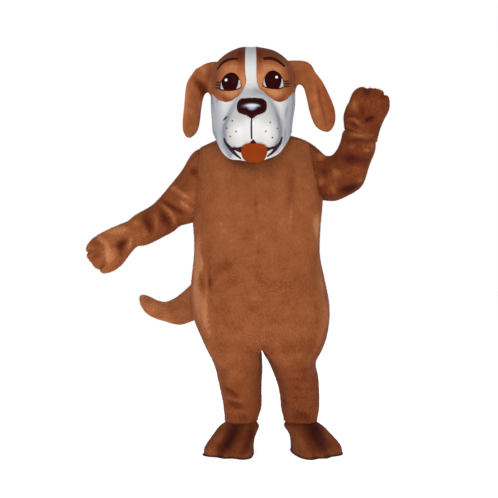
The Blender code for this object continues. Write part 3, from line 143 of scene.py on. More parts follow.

# Folds and marks of the nap. A row is the side that shows it, its height in millimetres with a
# crease below zero, the shade that it adds, half its width in millimetres, and then x and z, in
# millimetres, of each place that its line runs through. The shade it adds is painted shade along a
# crease and painted light along a ridge; along a mark of no height it only makes a streak darker or
# lighter.
FRONT, BACK, ROUND = -1, 1, 0
ARM_RIGHT_FOLDS = (
    (FRONT, -5, -1.0, 15, -282, -133, -243, -160),
    (FRONT, 4, 1.4, 9, -384, -200, -345, -222, -310, -246, -268, -276),
    (FRONT, 4, 1.3, 8, -330, -272, -300, -294, -270, -320),
    (FRONT, -9, -1.1, 9, -410, -265, -366, -298, -327, -322, -280, -345),
    (FRONT, 5, 1.4, 8, -416, -286, -370, -318, -351, -353, -339, -389),
    (FRONT, -7, -1.1, 14, -414, -306, -386, -345, -366, -392, -370, -412),
    (FRONT, 3, 0.9, 8, -440, -322, -426, -360, -420, -415),
    (FRONT, -5, -1.4, 15, -470, -325, -475, -353, -457, -385, -449, -424),
    (FRONT, 3, 0.8, 12, -528, -365, -508, -385),
    (FRONT, 2, 0.5, 9, -473, -400, -468, -430),
    (FRONT, 3, 0.9, 8, -544, -500, -538, -470, -534, -436),
    (FRONT, 3, 1.2, 15, -664, -412, -612, -401, -555, -402),
    (FRONT, 2, 1.2, 11, -694, -430, -644, -466, -634, -515, -638, -566),
    (FRONT, 2, 0.5, 10, -618, -440, -606, -500, -622, -550),
    (FRONT, -5, -1.0, 14, -628, -466, -594, -474, -568, -462, -544, -440),
    (FRONT, -5, -1.1, 15, -572, -450, -578, -484, -580, -526),
    (FRONT, 0, -0.7, 17, -725, -463, -664, -463),
    (FRONT, 0, -0.5, 17, -712, -530, -660, -515),
    (ROUND, -13, -0.5, 9, -758, -510, -728, -503, -690, -494),
    (ROUND, -13, -0.5, 9, -692, -602, -678, -570, -652, -544),
    (BACK, -8, -1.0, 11, -437, -262, -379, -318, -312, -338),
    (BACK, -6, -0.8, 9, -431, -305, -394, -361, -352, -396),
    (BACK, 4, 0.8, 9, -425, -281, -372, -337, -331, -361),
    (BACK, 4, 0.8, 12, -498, -342, -452, -381),
    (BACK, -5, -1.1, 14, -512, -401, -476, -436),
    (BACK, -4, -0.8, 14, -268, -142, -252, -205),
    (BACK, 3, 0.8, 15, -641, -421, -590, -440),
    (BACK, -4, -0.9, 16, -632, -502, -585, -508),
)
ARM_LEFT_FOLDS = (
    (FRONT, -7, -1.4, 10, 483, 66, 505, 77, 534, 86),
    (FRONT, -4, -0.6, 8, 468, 141, 475, 115, 479, 82),
    (FRONT, 3, 1.4, 13, 442, 167, 439, 137, 450, 115),
    (FRONT, -3, -0.6, 5, 406, 89, 435, 93, 450, 89),
    (FRONT, 3, 1.4, 6, 413, 82, 439, 75, 464, 53),
    (FRONT, -5, -0.7, 9, 406, 60, 439, 56, 464, 38),
    (FRONT, 4, 1.2, 9, 406, 12, 442, 9, 498, 1, 527, 5),
    (FRONT, -6, -0.8, 8, 413, -17, 464, -13, 527, -21),
    (FRONT, 2, 0.9, 9, 420, -39, 435, -54),
    (FRONT, 3, 1.5, 6, 479, -61, 509, -61),
    (FRONT, 2, 1.0, 8, 516, -32, 527, -46),
    (FRONT, -6, -1.1, 19, 362, -83, 406, -91, 464, -105, 509, -98),
    (FRONT, 3, 1.5, 14, 347, -138, 362, -160, 391, -153),
    (FRONT, 3, 1.4, 12, 284, -83, 318, -76),
    (FRONT, -4, -0.6, 9, 296, -127, 310, -149, 332, -146),
    (FRONT, 3, 1.4, 10, 300, -178, 299, -190, 296, -216),
    (FRONT, -6, -1.5, 15, 376, -238, 409, -232, 442, -223, 472, -212),
    (FRONT, 2, 1.2, 9, 464, -197, 479, -182),
    (FRONT, 3, 1.0, 8, 340, -212, 362, -252),
    (ROUND, -13, -0.5, 9, 601, 208, 578, 189, 554, 168),
    (ROUND, -10, -0.4, 8, 503, 232, 498, 205, 490, 176),
    (BACK, -5, -0.8, 9, 401, 61, 452, 49, 497, 68),
    (BACK, -7, -0.9, 10, 393, -31, 449, -41, 508, -22),
    (BACK, -5, -0.8, 9, 415, -109, 468, -112, 515, -92),
    (BACK, 4, 0.8, 10, 411, 4, 487, 8),
    (BACK, -6, -1.2, 13, 365, -190, 412, -226, 452, -219),
    (BACK, 3, 0.9, 13, 351, -121, 389, -148),
    (BACK, 3, 0.8, 12, 452, 158, 498, 131),
    (BACK, -4, -0.9, 14, 488, 98, 531, 104),
)
BODY_FOLDS = (
    (ROUND, 0, 0.9, 20, 287, -320, 284, -390, 282, -450),
    (ROUND, 0, 0.9, 17, 292, -580, 310, -670, 316, -760, 306, -860, 280, -930),
    (ROUND, 0, 0.5, 24, -262, -400, -262, -549, -250, -672, -246, -765, -214, -880),
    (FRONT, -4, -1.0, 20, -160, -588, -117, -553, -86, -540),
    (FRONT, 3, 1.2, 15, -251, -404, -248, -511, -258, -616, -262, -700, -240, -804),
    (FRONT, 0, 1.1, 17, -243, -470, -239, -514, -232, -580, -235, -660, -218, -762, -206, -811, -181, -910),
    (FRONT, -3, -2.0, 12, -232, -590, -229, -680),
    (FRONT, -2, -1.8, 8, -193, -600, -188, -670),
    (FRONT, 2, 0.8, 8, -210, -581, -199, -646, -207, -705, -217, -834),
    (FRONT, 2, 0.8, 8, -238, -506, -227, -575),
    (FRONT, 0, -0.7, 6, 11, -244, 13, -337),
    (FRONT, 0, 0.6, 6, 13, -378, 16, -458),
    (FRONT, -3, -0.8, 18, 174, -108, 167, -220, 164, -337),
    (FRONT, 2, 0.8, 7, 168, -268, 160, -406),
    (FRONT, 0, 0.6, 6, -30, -692, 51, -705, 65, -721),
    (FRONT, -8, -0.9, 10, 313, -155, 304, -213, 309, -270),
    (FRONT, 3, 0.7, 12, 264, -337, 281, -381, 285, -424),
    (FRONT, 2, 0.6, 11, -215, -902, -184, -947, -165, -990),
    (FRONT, 2, 0.6, 15, 284, -906, 302, -888),
    (FRONT, -8, -1.1, 9, -139, -1104, -103, -1118, -62, -1145),
    (FRONT, 4, 0.7, 6, -130, -1147, -76, -1152, -31, -1168),
    (FRONT, -9, -1.3, 11, -124, -1167, -85, -1181, -28, -1196),
    (FRONT, 4, 0.6, 7, -121, -1212, -85, -1210, -44, -1206),
    (FRONT, -4, -0.6, 7, -85, -1230, -50, -1230, -13, -1236),
    (FRONT, -2, -0.35, 6, 125, -1024, 200, -1021, 272, -1012),
    (FRONT, -2, -0.35, 6, 128, -1064, 190, -1059, 275, -1066),
    (FRONT, -2, -0.35, 6, 130, -1103, 185, -1101, 275, -1107),
    (FRONT, -2, -0.35, 6, 135, -1140, 200, -1143, 270, -1136),
    (FRONT, -7, -1.0, 12, 117, -1162, 150, -1177),
    (FRONT, 2, 0.5, 8, 120, -1150, 163, -1156),
    (FRONT, 0, -1.3, 15, 188, -1236, 215, -1222, 252, -1243),
    (FRONT, 0, -0.8, 13, -72, -1247, -40, -1243, -12, -1250),
    (FRONT, -5, -0.6, 10, 269, -971, 300, -984),
    (BACK, -7, -0.8, 12, -205, -902, -152, -921, -96, -905),
    (BACK, -5, -0.6, 10, -190, -948, -139, -966, -101, -958),
    (BACK, -7, -0.9, 11, -150, -1132, -98, -1151, -49, -1140),
    (BACK, -5, -0.7, 10, -139, -1188, -82, -1199, -41, -1186),
    (BACK, -6, -0.7, 12, 121, -915, 176, -934, 238, -921),
    (BACK, -7, -0.9, 11, 148, -1108, 201, -1129, 259, -1117),
    (BACK, -5, -0.7, 10, 157, -1172, 207, -1188, 262, -1179),
    (BACK, -5, -0.8, 16, -175, -622, -128, -668, -61, -688),
    (BACK, -5, -0.8, 16, 181, -609, 139, -661, 81, -690),
    (BACK, -4, -0.6, 15, -118, -122, -131, -196, -122, -268),
    (BACK, -4, -0.6, 15, 149, -104, 158, -170, 139, -259),
    (BACK, 3, 0.3, 14, -180, -401, -171, -489),
    (BACK, 3, 0.3, 14, 222, -372, 214, -455),
    (BACK, 2, 0.6, 11, -236, -566, -243, -701),
    (BACK, 2, 0.6, 10, 266, -612, 259, -742),
)
FOOT_FOLDS = (
    (ROUND, 0, -2.7, 22, -46, -1245, -85, -1303, -130, -1357, -155, -1390),
    (ROUND, 0, -2.0, 16, -13, -1260, -10, -1310, -30, -1360, -62, -1390),
    (ROUND, 0, 0.8, 12, -107, -1262, -148, -1325, -200, -1383),
    (ROUND, -7, -0.2, 8, -152, -1430, -150, -1395, -138, -1352),
    (ROUND, -9, -0.2, 9, -98, -1430, -97, -1395, -92, -1345),
    (ROUND, 0, -2.8, 24, 195, -1232, 244, -1250, 275, -1307, 307, -1356, 315, -1380),
    (ROUND, 0, 0.9, 9, 271, -1250, 320, -1302, 352, -1334),
    (ROUND, 0, 0.8, 13, 176, -1284, 212, -1334, 221, -1365),
    (ROUND, -9, -0.2, 9, 275, -1430, 274, -1395, 266, -1345),
    (ROUND, -7, -0.2, 8, 338, -1430, 336, -1390, 322, -1350),
)
EAR_FOLDS = (
    # painted shadow where the folded root of the ear meets the head
    (ROUND, -5, -3.2, 15, -258, 268, -245, 252, -228, 230, -212, 206, -200, 184),
    (ROUND, 0, -0.9, 8, -186, 345, -197, 290, -206, 245, -214, 205),
    (ROUND, 0, -0.9, 6, -228, 219, -232, 195, -236, 168),
    (ROUND, 0, -0.6, 24, -300, 66, -275, 55),
    (ROUND, 2, 0.5, 10, -287, 272, -300, 216, -306, 150),
    (ROUND, -3, -1.3, 6, 281, 262, 293, 203, 297, 167, 314, 111, 324, 60),
    (ROUND, 0, -0.8, 17, 312, 240, 330, 160, 346, 100, 345, 60),
    (ROUND, 2, 0.4, 9, 262, 270, 268, 200, 283, 120, 300, 60),
    (ROUND, 0, -0.6, 9, 226, 322, 236, 290, 240, 262),
)
CROWN_FOLDS = (
    (FRONT, 0, -1.1, 13, -52, 405, -48, 350, -46, 300),
    (FRONT, 0, -0.7, 10, 40, 405, 42, 330, 40, 275),
    (FRONT, 0, -1.0, 15, -120, 345, -155, 300, -168, 240, -165, 190),
    (FRONT, 0, -1.0, 14, 125, 345, 155, 300, 168, 250, 162, 200),
    (FRONT, 0, 0.5, 13, -125, 290, -90, 305, -55, 300),
    (FRONT, 0, 0.5, 12, 50, 300, 85, 300, 120, 285),
    (FRONT, 0, 0.6, 8, -46, 270, -42, 235, -50, 200),
    (FRONT, 0, 0.6, 8, 36, 280, 40, 230, 52, 195),
    (FRONT, 0, 0.8, 10, -130, 187, -95, 182, -60, 194),
    (FRONT, 0, 0.8, 10, 65, 194, 95, 184, 128, 190),
    (FRONT, 0, -1.5, 8, -145, 188, -118, 162, -90, 150, -60, 166),
    (FRONT, 0, -1.5, 8, 60, 170, 90, 152, 125, 160, 148, 188),
)
PANELS = ("suit_front_right", "suit_front_left", "suit_back_right", "suit_back_left")
FOLDS = {
    "head_crown": CROWN_FOLDS,
    **dict.fromkeys(("sleeve_right", "mitt_right"), ARM_RIGHT_FOLDS),
    **dict.fromkeys(("sleeve_left", "mitt_left"), ARM_LEFT_FOLDS),
    **dict.fromkeys(("foot_cover_right", "foot_cover_left"), FOOT_FOLDS),
    **dict.fromkeys(PANELS, BODY_FOLDS),
}

# The edges of the eyes and the nose from the front, as x and z in tenths of a millimetre.
EYE_OUTLINES = {
    "right": (
        -971, 2747, -1123, 2717, -1229, 2644, -1320, 2529, -1371, 2408, -1411, 2226, -1432, 2050,
        -1350, 2020, -1229, 2002, -971, 1984, -774, 2008, -592, 2060, -523, 2111, -538, 2226,
        -577, 2408, -638, 2544, -714, 2660, -835, 2735,
    ),
    "left": (
        862, 2832, 696, 2793, 574, 2666, 499, 2529, 459, 2378, 432, 2226, 429, 2160, 529, 2105,
        620, 2081, 893, 2056, 1135, 2069, 1256, 2105, 1323, 2166, 1311, 2287, 1280, 2438, 1226, 2590,
        1120, 2741, 999, 2808,
    ),
}
NOSE_OUTLINE = (
    -61, 1561, -346, 1570, -550, 1573, -657, 1447, -699, 1240, -699, 1022, -663, 924, -489, 842,
    -312, 783, -193, 709, -61, 615, 72, 709, 176, 783, 338, 836, 514, 927, 568, 1022, 583, 1201,
    553, 1444, 427, 1567, 223, 1573,
)

# Dark felt lines on the face. A row is the line's width at its start, in its middle and at its end,
# and then x and z of each place that it runs through, all in tenths of a millimetre. BROWS are in
# the dark of the eyes, and LIPS and the DOTS of the muzzle in a blue black.
BROWS = (
    (30, 120, 90, -1560, 2930, -1380, 3180, -1130, 3330, -900, 3375, -660, 3360),
    (120, 140, 70, 450, 3365, 660, 3395, 860, 3380, 1110, 3270, 1380, 3050),
    (20, 50, 50, -1620, 2395, -1500, 2365, -1390, 2360),
    (20, 55, 50, -1640, 2280, -1500, 2245, -1410, 2240),
    (20, 55, 50, -1630, 2150, -1520, 2110, -1420, 2090),
    (20, 50, 50, 1570, 2440, 1460, 2400, 1340, 2390),
    (20, 55, 50, 1600, 2330, 1460, 2290, 1340, 2280),
    (20, 55, 50, 1570, 2210, 1460, 2180, 1340, 2170),
    (10, 40, 40, -1359, 2453, -1405, 2287, -1435, 2090, -1417, 2026, -1289, 1996),
    (40, 50, 20, -1289, 1996, -1138, 1984, -971, 1972, -774, 1993, -592, 2047, -508, 2105),
    (20, 35, 10, -508, 2105, -532, 2241, -586, 2408, -638, 2514),
    (10, 35, 40, 465, 2408, 432, 2272, 414, 2160, 514, 2099, 620, 2072),
    (40, 50, 20, 620, 2072, 741, 2053, 893, 2044, 1074, 2050, 1241, 2093, 1335, 2156),
    (20, 35, 10, 1335, 2156, 1320, 2287, 1287, 2438, 1226, 2575),
)
LIPS = (
    (40, 68, 60, -70, 640, -80, 300, -70, -180),
    (50, 130, 40, -1260, -80, -1170, -300, -980, -540, -770, -780, -520, -1000),
    (50, 120, 40, 1250, -20, 1170, -280, 1030, -450, 860, -680, 600, -900),
    (20, 70, 40, -1280, 680, -1200, 760, -1130, 840),
)
DOTS = (
    -880, 560, -1120, 300, -720, 95, -980, -70, 710, 470, 1020, 260, 530, 95, 810, -130,
)

# The lines where the muzzle's flews hang, from the brow down, as x and z in millimetres.
FLEW_LINES = (
    (-52, 190, -64, 176, -83, 137, -110, 83, -127, 24, -125, -20, -98, -56),
    (24, 196, 51, 177, 75, 158, 93, 124, 108, 85, 118, 33, 120, -11, 101, -42),
)


def line_of(numbers, per_metre):
    """Places as (x, z) in metres, from a row of whole numbers."""
    return np.reshape(numbers, (-1, 2)) / per_metre


def smooth(low, high, value):
    """0 up to low and 1 from high on, easing between them."""
    share = np.clip((value - low) / (high - low), 0.0, 1.0)
    return share * share * (3.0 - 2.0 * share)


def swell(value, middle, half):
    """1 where the value is in the middle, dying away to both sides."""
    return np.exp(-(((value - middle) / half) ** 2))


def to_line(points, line):
    """Distance from each point to a line of straight stretches, and how far along it the nearest
    place is, from 0 to 1."""
    lengths = np.linalg.norm(np.diff(line, axis=0), axis=1)
    total, done = lengths.sum(), 0.0
    nearest = np.full(len(points), np.inf)
    along = np.zeros(len(points))
    for start, end, length in zip(line[:-1], line[1:], lengths):
        share = np.clip((points - start) @ (end - start) / (length * length), 0.0, 1.0)
        gap = np.linalg.norm(points - (start + share[:, None] * (end - start)), axis=1)
        closer = gap < nearest
        nearest = np.where(closer, gap, nearest)
        along = np.where(closer, (done + share * length) / total, along)
        done += length
    return nearest, along


def mottle(points, size, seed):
    """Uneven nap: soft noise with patches about size across, from about -1 to 1."""
    shift = Vector([seed * step for step in NOISE_STEPS])
    return np.array([noise.noise(Vector(p) / size + shift) for p in points]) * NOISE_REACH


# ---------------------------------------------------------------- cloth over a CAD solid


def merged_copy(node):
    """A CAD node's form with its loose triangles sewn together."""
    bm = bmesh.new()
    bm.from_mesh(frame["nodes"][node].data)
    bmesh.ops.remove_doubles(bm, verts=bm.verts, dist=1e-5)
    bm.faces.ensure_lookup_table()
    bm.normal_update()
    return bm


def piece_of(bm, name, shelf=None):
    """A piece with the form that has been modelled, on a shelf or else in the scene."""
    mesh = bpy.data.meshes.new(name)
    bm.to_mesh(mesh)
    bm.free()
    piece = bpy.data.objects.new(name, mesh)
    (shelf or bpy.context.scene.collection).objects.link(piece)
    return piece


def smooth_regions(bm):
    """The faces of a form in groups that meet at sharp edges."""
    seen, regions = set(), []
    for face in bm.faces:
        if face in seen:
            continue
        seen.add(face)
        region, front = [], [face]
        while front:
            one = front.pop()
            region.append(one)
            for edge in one.edges:
                if len(edge.link_faces) == 2 and edge.calc_face_angle(0.0) < SHARP:
                    for other in edge.link_faces:
                        if other not in seen:
                            seen.add(other)
                            front.append(other)
        regions.append(region)
    return regions


def through_wall(edge):
    """Whether an edge runs from the outside of a wall to its inside, at its rim."""
    a, b = edge.verts
    way = (a.co - b.co).normalized()
    return any(f.normal.dot(way) > CROSSING for f in a.link_faces if b not in f.verts) and any(
        f.normal.dot(way) < -CROSSING for f in b.link_faces if a not in f.verts
    )


def widened(bm, by):
    """Lets an open sheet reach a little past its edge, so that it laps the sheet sewn to it."""
    moves = {}
    for edge in bm.edges:
        if edge.is_boundary:
            a, b = edge.verts
            way = (b.co - a.co).normalized()
            out = (a.co + b.co) / 2 - edge.link_faces[0].calc_center_median()
            out -= way * out.dot(way)
            for vert in edge.verts:
                moves[vert] = moves.get(vert, Vector()) + out.normalized()
    for vert, out in moves.items():
        vert.co += out.normalized() * by


def in_quads(bm):
    """Joins the triangles of a form in pairs, so that it rounds off evenly."""
    bmesh.ops.join_triangles(
        bm,
        faces=bm.faces,
        angle_face_threshold=FLAT_PAIR,
        angle_shape_threshold=SQUARE_PAIR,
    )


def outer_cloth(node, name, levels):
    """A smooth open sheet on the outside of a CAD solid's form."""
    bm = merged_copy(node)
    rim = {face for edge in bm.edges if through_wall(edge) for face in edge.link_faces}
    bmesh.ops.delete(bm, geom=list(rim), context="FACES")
    keep = set(max(smooth_regions(bm), key=lambda r: sum(f.calc_area() for f in r)))
    bmesh.ops.delete(bm, geom=[f for f in bm.faces if f not in keep], context="FACES")
    if node.startswith(("suit", "sleeve", "mitt")):
        widened(bm, SEAM_LAP)
    in_quads(bm)
    return subdivided(bm, name, levels)


def subdivided(bm, name, levels):
    """A rounded piece with the form that has been modelled."""
    piece = piece_of(bm, name)
    step = piece.modifiers.new("rounding", "SUBSURF")
    step.levels = step.render_levels = levels
    step.boundary_smooth = "PRESERVE_CORNERS"
    settle(piece)
    return piece


def settle(piece):
    """Turns what the modifiers make into the piece's own mesh."""
    shaped = piece.evaluated_get(bpy.context.evaluated_depsgraph_get())
    mesh = bpy.data.meshes.new_from_object(shaped)
    old = piece.data
    piece.modifiers.clear()
    piece.data = mesh
    mesh.name = old.name
    bpy.data.meshes.remove(old)
    mesh.shade_smooth()


def places(piece):
    """Where the points of a piece are, and which way its surface faces there."""
    mesh = piece.data
    points = np.empty(len(mesh.vertices) * 3)
    normals = np.empty(len(mesh.vertices) * 3)
    mesh.vertices.foreach_get("co", points)
    mesh.vertex_normals.foreach_get("vector", normals)
    return points.reshape(-1, 3), normals.reshape(-1, 3)


def put(piece, points):
    """Moves the points of a piece."""
    piece.data.vertices.foreach_set("co", points.astype(np.float32).ravel())
    piece.data.update()


def edge_distance(piece, points):
    """How far each point is from the open edge of a sheet."""
    bm = bmesh.new()
    bm.from_mesh(piece.data)
    rim = [v.co.copy() for v in bm.verts if v.is_boundary]
    bm.free()
    tree = KDTree(len(rim))
    for i, co in enumerate(rim):
        tree.insert(co, i)
    tree.balance()
    return np.array([tree.find(Vector(p))[2] for p in points])


def folded(points, normals, folds, amount):
    """How far the cloth moves out along its own normal at each point, in metres, and the shade that
    its folds add: painted shade along the creases, painted light along the ridges, and darker or
    lighter streaks along the marks of no height."""
    depth, painted_shade_and_marks = np.zeros(len(points)), np.zeros(len(points))
    flat = points[:, [0, 2]]
    for side, height, shade, width, *line in folds:
        gap, along = to_line(flat, line_of(line, 1000))
        facing = smooth(*FOLD_FACING, side * normals[:, 1]) if side else 1.0
        taper = np.sin(np.pi * np.clip(along, *FOLD_ENDS)) ** FOLD_TAPER
        mark = taper * facing * swell(gap, 0.0, width * MM * (NARROWEST + WIDENING * taper))
        depth += height * MM * amount * mark
        # painted shade in a crease and painted light on a ridge, as a shift of the dye
        painted_shade_and_marks += shade * mark
    return np.clip(depth, DEEPEST_FOLD, HIGHEST_RIDGE), np.clip(painted_shade_and_marks, DARKEST_FOLD, LIGHTEST_RIDGE)


def drawn_in(node, cloth, points):
    """How far the cloth is drawn in at the cuffs and over the hems, in metres."""
    if node.startswith("mitt"):
        return CUFF_PULL * swell(edge_distance(cloth, points), 0.0, CUFF_REACH)
    if node.startswith("suit"):
        return HEM_PULL * swell(points[:, 2], HEM_LEVEL, HEM_REACH)
    return 0.0


def bump(x, z, middle, halves):
    """1 at the middle of an oval place on x and z, dying away round it."""
    return np.exp(-(((x - middle[0]) / halves[0]) ** 2) - ((z - middle[1]) / halves[1]) ** 2)


def eased(node, points):
    """Moves the cloth where it hangs away from the form under it."""
    x, y, z = points.T.copy()
    if node.startswith("suit"):  # the seat hangs low between the legs
        z -= 0.010 * swell(x, 0.04, 0.045) * smooth(-1.02, -0.92, z) * smooth(-0.74, -0.84, z)
    if node.startswith(("suit", "sleeve")):  # the shoulders are raised
        z += 0.016 * bump(x, z, (-0.235, -0.075), (0.055, 0.050))
        z += 0.011 * bump(x, z, (0.190, -0.020), (0.070, 0.050))
    if node.startswith("head") or node == "mouth_lining":
        # the forehead is wide and low, and the jaws are narrow
        x *= 1.0 + 0.06 * swell(z, 0.325, 0.045)
        side = np.abs(x)
        x *= 1.0 - np.where(x > 0, 0.055, 0.015) * smooth(0.17, 0.06, z) * smooth(0.09, 0.15, side)
        z = np.where(z > 0.30, 0.30 + (z - 0.30) * 0.93, z)
        side = np.abs(x)
        # the flews hang down at the sides of the mouth, and lower on the right
        share = smooth(0.07, 0.125, side)
        low = smooth(0.0, 1.0, (-0.045 + 0.065 * share - z) / (0.040 + 0.035 * share))
        drop = np.where(x > 0, 0.012, 0.028) * smooth(0.03, 0.11, side) * smooth(0.185, 0.145, side)
        z -= drop * low * smooth(-0.02, -0.12, y)
        # the cheeks, and the right temple beside the eye, sag a little
        z -= 0.007 * bump(side, z, (0.095, 0.150), (0.045, 0.028)) * smooth(0.0, -0.05, y)
        z -= 0.010 * bump(x, z, (-0.170, 0.185), (0.035, 0.035)) * smooth(0.02, -0.03, y)
        # the ridge between the eyes is moved to the right
        over = smooth(-0.024, 0.024, x)
        high = over * smooth(0.17, 0.21, z) + (1.0 - over) * smooth(0.235, 0.275, z)
        x -= np.clip(0.0105 + 0.12 * x, 0.0065, 0.0145) * smooth(0.095, 0.045, side) * high
    if node.startswith("foot_cover"):  # the covers widen towards the ankles
        ankle = -0.051 if node.endswith("right") else 0.209
        x += (x - ankle) * 0.15 * smooth(-1.34, -1.27, z)
    if node == "tail":  # thick in the middle, and a little lower towards the tip
        middle = smooth(-0.42, -0.30, x) * smooth(-0.15, -0.24, x)
        z += (z + 0.712) * 0.27 * middle - 0.010 * swell(x, -0.36, 0.06)
    if node == "ear_right":  # the root is folded down, and the tip hangs lower
        z -= 0.041 * smooth(-0.258, -0.228, x) * smooth(0.315, 0.255, z) * smooth(0.10, 0.20, z)
        z -= 0.015 * swell(x, -0.245, 0.035) * smooth(0.27, 0.34, z)
        z -= 0.006 * smooth(0.10, 0.05, z)
        x += 0.012 * bump(x, z, (-0.285, 0.300), (0.030, 0.035))
    if node == "ear_left":  # the same, by less
        z -= 0.017 * smooth(0.262, 0.232, x) * smooth(0.32, 0.27, z) * smooth(0.14, 0.22, z)
        z -= 0.009 * smooth(0.12, 0.07, z)
        x -= 0.011 * bump(x, z, (0.285, 0.295), (0.030, 0.040))
    return np.stack([x, y, z], axis=1)


def store(piece, name, values):
    """Keeps a number or a direction for each point of a piece."""
    kind = "FLOAT" if values.ndim == 1 else "FLOAT_VECTOR"
    attribute = piece.data.attributes.new(name, kind, "POINT")
    attribute.data.foreach_set(
        "value" if values.ndim == 1 else "vector", values.astype(np.float32).ravel()
    )


def wall(piece, thickness, lining):
    """Gives the sheet its thickness, inwards, and its lining."""
    piece.data.materials.append(lining)
    step = piece.modifiers.new("backing", "SOLIDIFY")
    step.thickness = thickness
    step.offset = -1.0
    step.use_even_offset = False
    step.material_offset = len(piece.data.materials) - 1
    settle(piece)
    piece.data.set_sharp_from_angle(angle=SHARP)


# ---------------------------------------------------------------- pile


def add(tree, kind, inputs=(), **settings):
    """A node with its settings, and with each of its inputs at a value or joined to a socket."""
    node = tree.nodes.new(kind)
    for name, value in settings.items():
        setattr(node, name, value)
    for name, value in dict(inputs).items():
        if isinstance(value, bpy.types.NodeSocket):
            tree.links.new(value, node.inputs[name])
        else:
            node.inputs[name].default_value = value
    return node


def maths(tree, operation, *values, **settings):
    """The result of a sum on numbers or sockets, as a socket."""
    inputs = dict(enumerate(values))
    return add(tree, "ShaderNodeMath", inputs, operation=operation, **settings).outputs[0]


def tuft(shade, material, length, width, lean, rack):
    """A pointed tuft that rises from its root and bends over."""
    bm = bmesh.new()
    bmesh.ops.create_grid(bm, x_segments=1, y_segments=2, size=0.5)
    for vert in bm.verts:
        along = vert.co.y + 0.5
        side = vert.co.x * width * (1.0 - TUFT_TAPER * along)
        if along > TUFT_TIP:
            side = 0.0
        rise = lean * along * (TUFT_RISE - TUFT_DROOP * along)
        vert.co = Vector((side, along * length, rise * length - TUFT_ROOT))
    bmesh.ops.remove_doubles(bm, verts=bm.verts, dist=1e-6)
    piece_of(bm, f"tuft_{shade}", rack).data.materials.append(material)


def tuft_rack(length, width, lean):
    """One tuft in each dye, in a collection of its own that the scene doesn't show."""
    rack = bpy.data.collections.new("tufts")
    for shade, dye in enumerate(DYES):
        tuft(shade, pile_material(shade, dye), length, width, lean, rack)
    return rack


def pile_tree():
    """Tufts spread over a sheet, each in the dye of the shade under it and lying along the nap."""
    tree = bpy.data.node_groups.new("lay pile", "GeometryNodeTree")
    tree.is_modifier = True
    for name, kind in (
        ("Cloth", "NodeSocketGeometry"),
        ("Tufts", "NodeSocketCollection"),
        ("Gap", "NodeSocketFloat"),
        ("Seed", "NodeSocketInt"),
    ):
        tree.interface.new_socket(name, in_out="INPUT", socket_type=kind)
    tree.interface.new_socket("Pile", in_out="OUTPUT", socket_type="NodeSocketGeometry")
    given = add(tree, "NodeGroupInput").outputs
    spread = add(tree, "GeometryNodeDistributePointsOnFaces", {
        "Mesh": given["Cloth"],
        "Distance Min": given["Gap"],
        "Density Max": PILE_DENSITY,
        "Density Factor": named_value(tree, "cover", "FLOAT"),
        "Seed": given["Seed"],
    }, distribute_method="POISSON").outputs

    upright = add(tree, "FunctionNodeAlignRotationToVector", {"Vector": spread["Normal"]}, axis="Z")
    sway = add(tree, "FunctionNodeRandomValue", {
        0: (-PILE_SWAY,) * 3, 1: (PILE_SWAY,) * 3,
    }, data_type="FLOAT_VECTOR")
    lay = add(tree, "ShaderNodeVectorMath", {
        0: named_value(tree, "nap", "FLOAT_VECTOR"), 1: sway.outputs[0],
    })
    turned = add(tree, "FunctionNodeAlignRotationToVector", {
        "Rotation": upright.outputs["Rotation"], "Vector": lay.outputs[0],
    }, axis="Y", pivot_axis="Z")

    stray = add(tree, "FunctionNodeRandomValue", {2: -PILE_STRAY, 3: PILE_STRAY}, data_type="FLOAT")
    pick = maths(tree, "ADD", named_value(tree, "shade", "FLOAT"), stray.outputs[1])
    dye = add(tree, "ShaderNodeClamp", {"Value": pick, "Max": PALEST_DYE})
    number = add(tree, "FunctionNodeFloatToInt", {0: dye.outputs[0]}, rounding_mode="ROUND")

    uneven = add(tree, "FunctionNodeRandomValue", {
        2: PILE_SHORTEST, 3: PILE_LONGEST,
    }, data_type="FLOAT")
    size = maths(tree, "MULTIPLY", named_value(tree, "pile", "FLOAT"), uneven.outputs[1])

    rack = add(tree, "GeometryNodeCollectionInfo", {
        "Collection": given["Tufts"], "Separate Children": True, "Reset Children": True,
    })
    plant = add(tree, "GeometryNodeInstanceOnPoints", {
        "Points": spread["Points"],
        "Instance": rack.outputs[0],
        "Pick Instance": True,
        "Instance Index": number.outputs[0],
        "Rotation": turned.outputs["Rotation"],
        "Scale": size,
    })
    real = add(tree, "GeometryNodeRealizeInstances", {0: plant.outputs[0]})
    add(tree, "NodeGroupOutput", {0: real.outputs[0]})
    return tree


def named_value(tree, name, kind):
    """What store() has kept for each point of a piece, as a socket."""
    node = add(tree, "GeometryNodeInputNamedAttribute", {"Name": name}, data_type=kind)
    return next(s for s in node.outputs if s.enabled)


def lay_pile(cloth, name, gap, seed):
    """Tufts over a sheet, lying along its nap, as a piece of their own."""
    pile = bpy.data.objects.new(name, cloth.data.copy())
    bpy.context.scene.collection.objects.link(pile)
    step = pile.modifiers.new("pile", "NODES")
    step.node_group = TREES["pile"]
    keys = {s.name: s.identifier for s in TREES["pile"].interface.items_tree if s.in_out == "INPUT"}
    step[keys["Tufts"]] = TREES["rack"]
    step[keys["Gap"]] = gap
    step[keys["Seed"]] = seed
    settle(pile)
    for attribute in list(pile.data.attributes):
        if attribute.name in ("shade", "nap", "pile", "cover"):
            pile.data.attributes.remove(attribute)
    return pile


# ---------------------------------------------------------------- finishes


def shader(name, roughness, **sockets):
    """A material of one Principled shader, with the values of its sockets."""
    material = bpy.data.materials.new(name)
    material.use_nodes = True
    tree = material.node_tree
    principled = tree.nodes["Principled BSDF"]
    principled.inputs["Roughness"].default_value = roughness
    principled.inputs["Specular IOR Level"].default_value = DULL
    for socket, value in sockets.items():
        principled.inputs[socket.replace("_", " ")].default_value = value
    return material, tree, principled


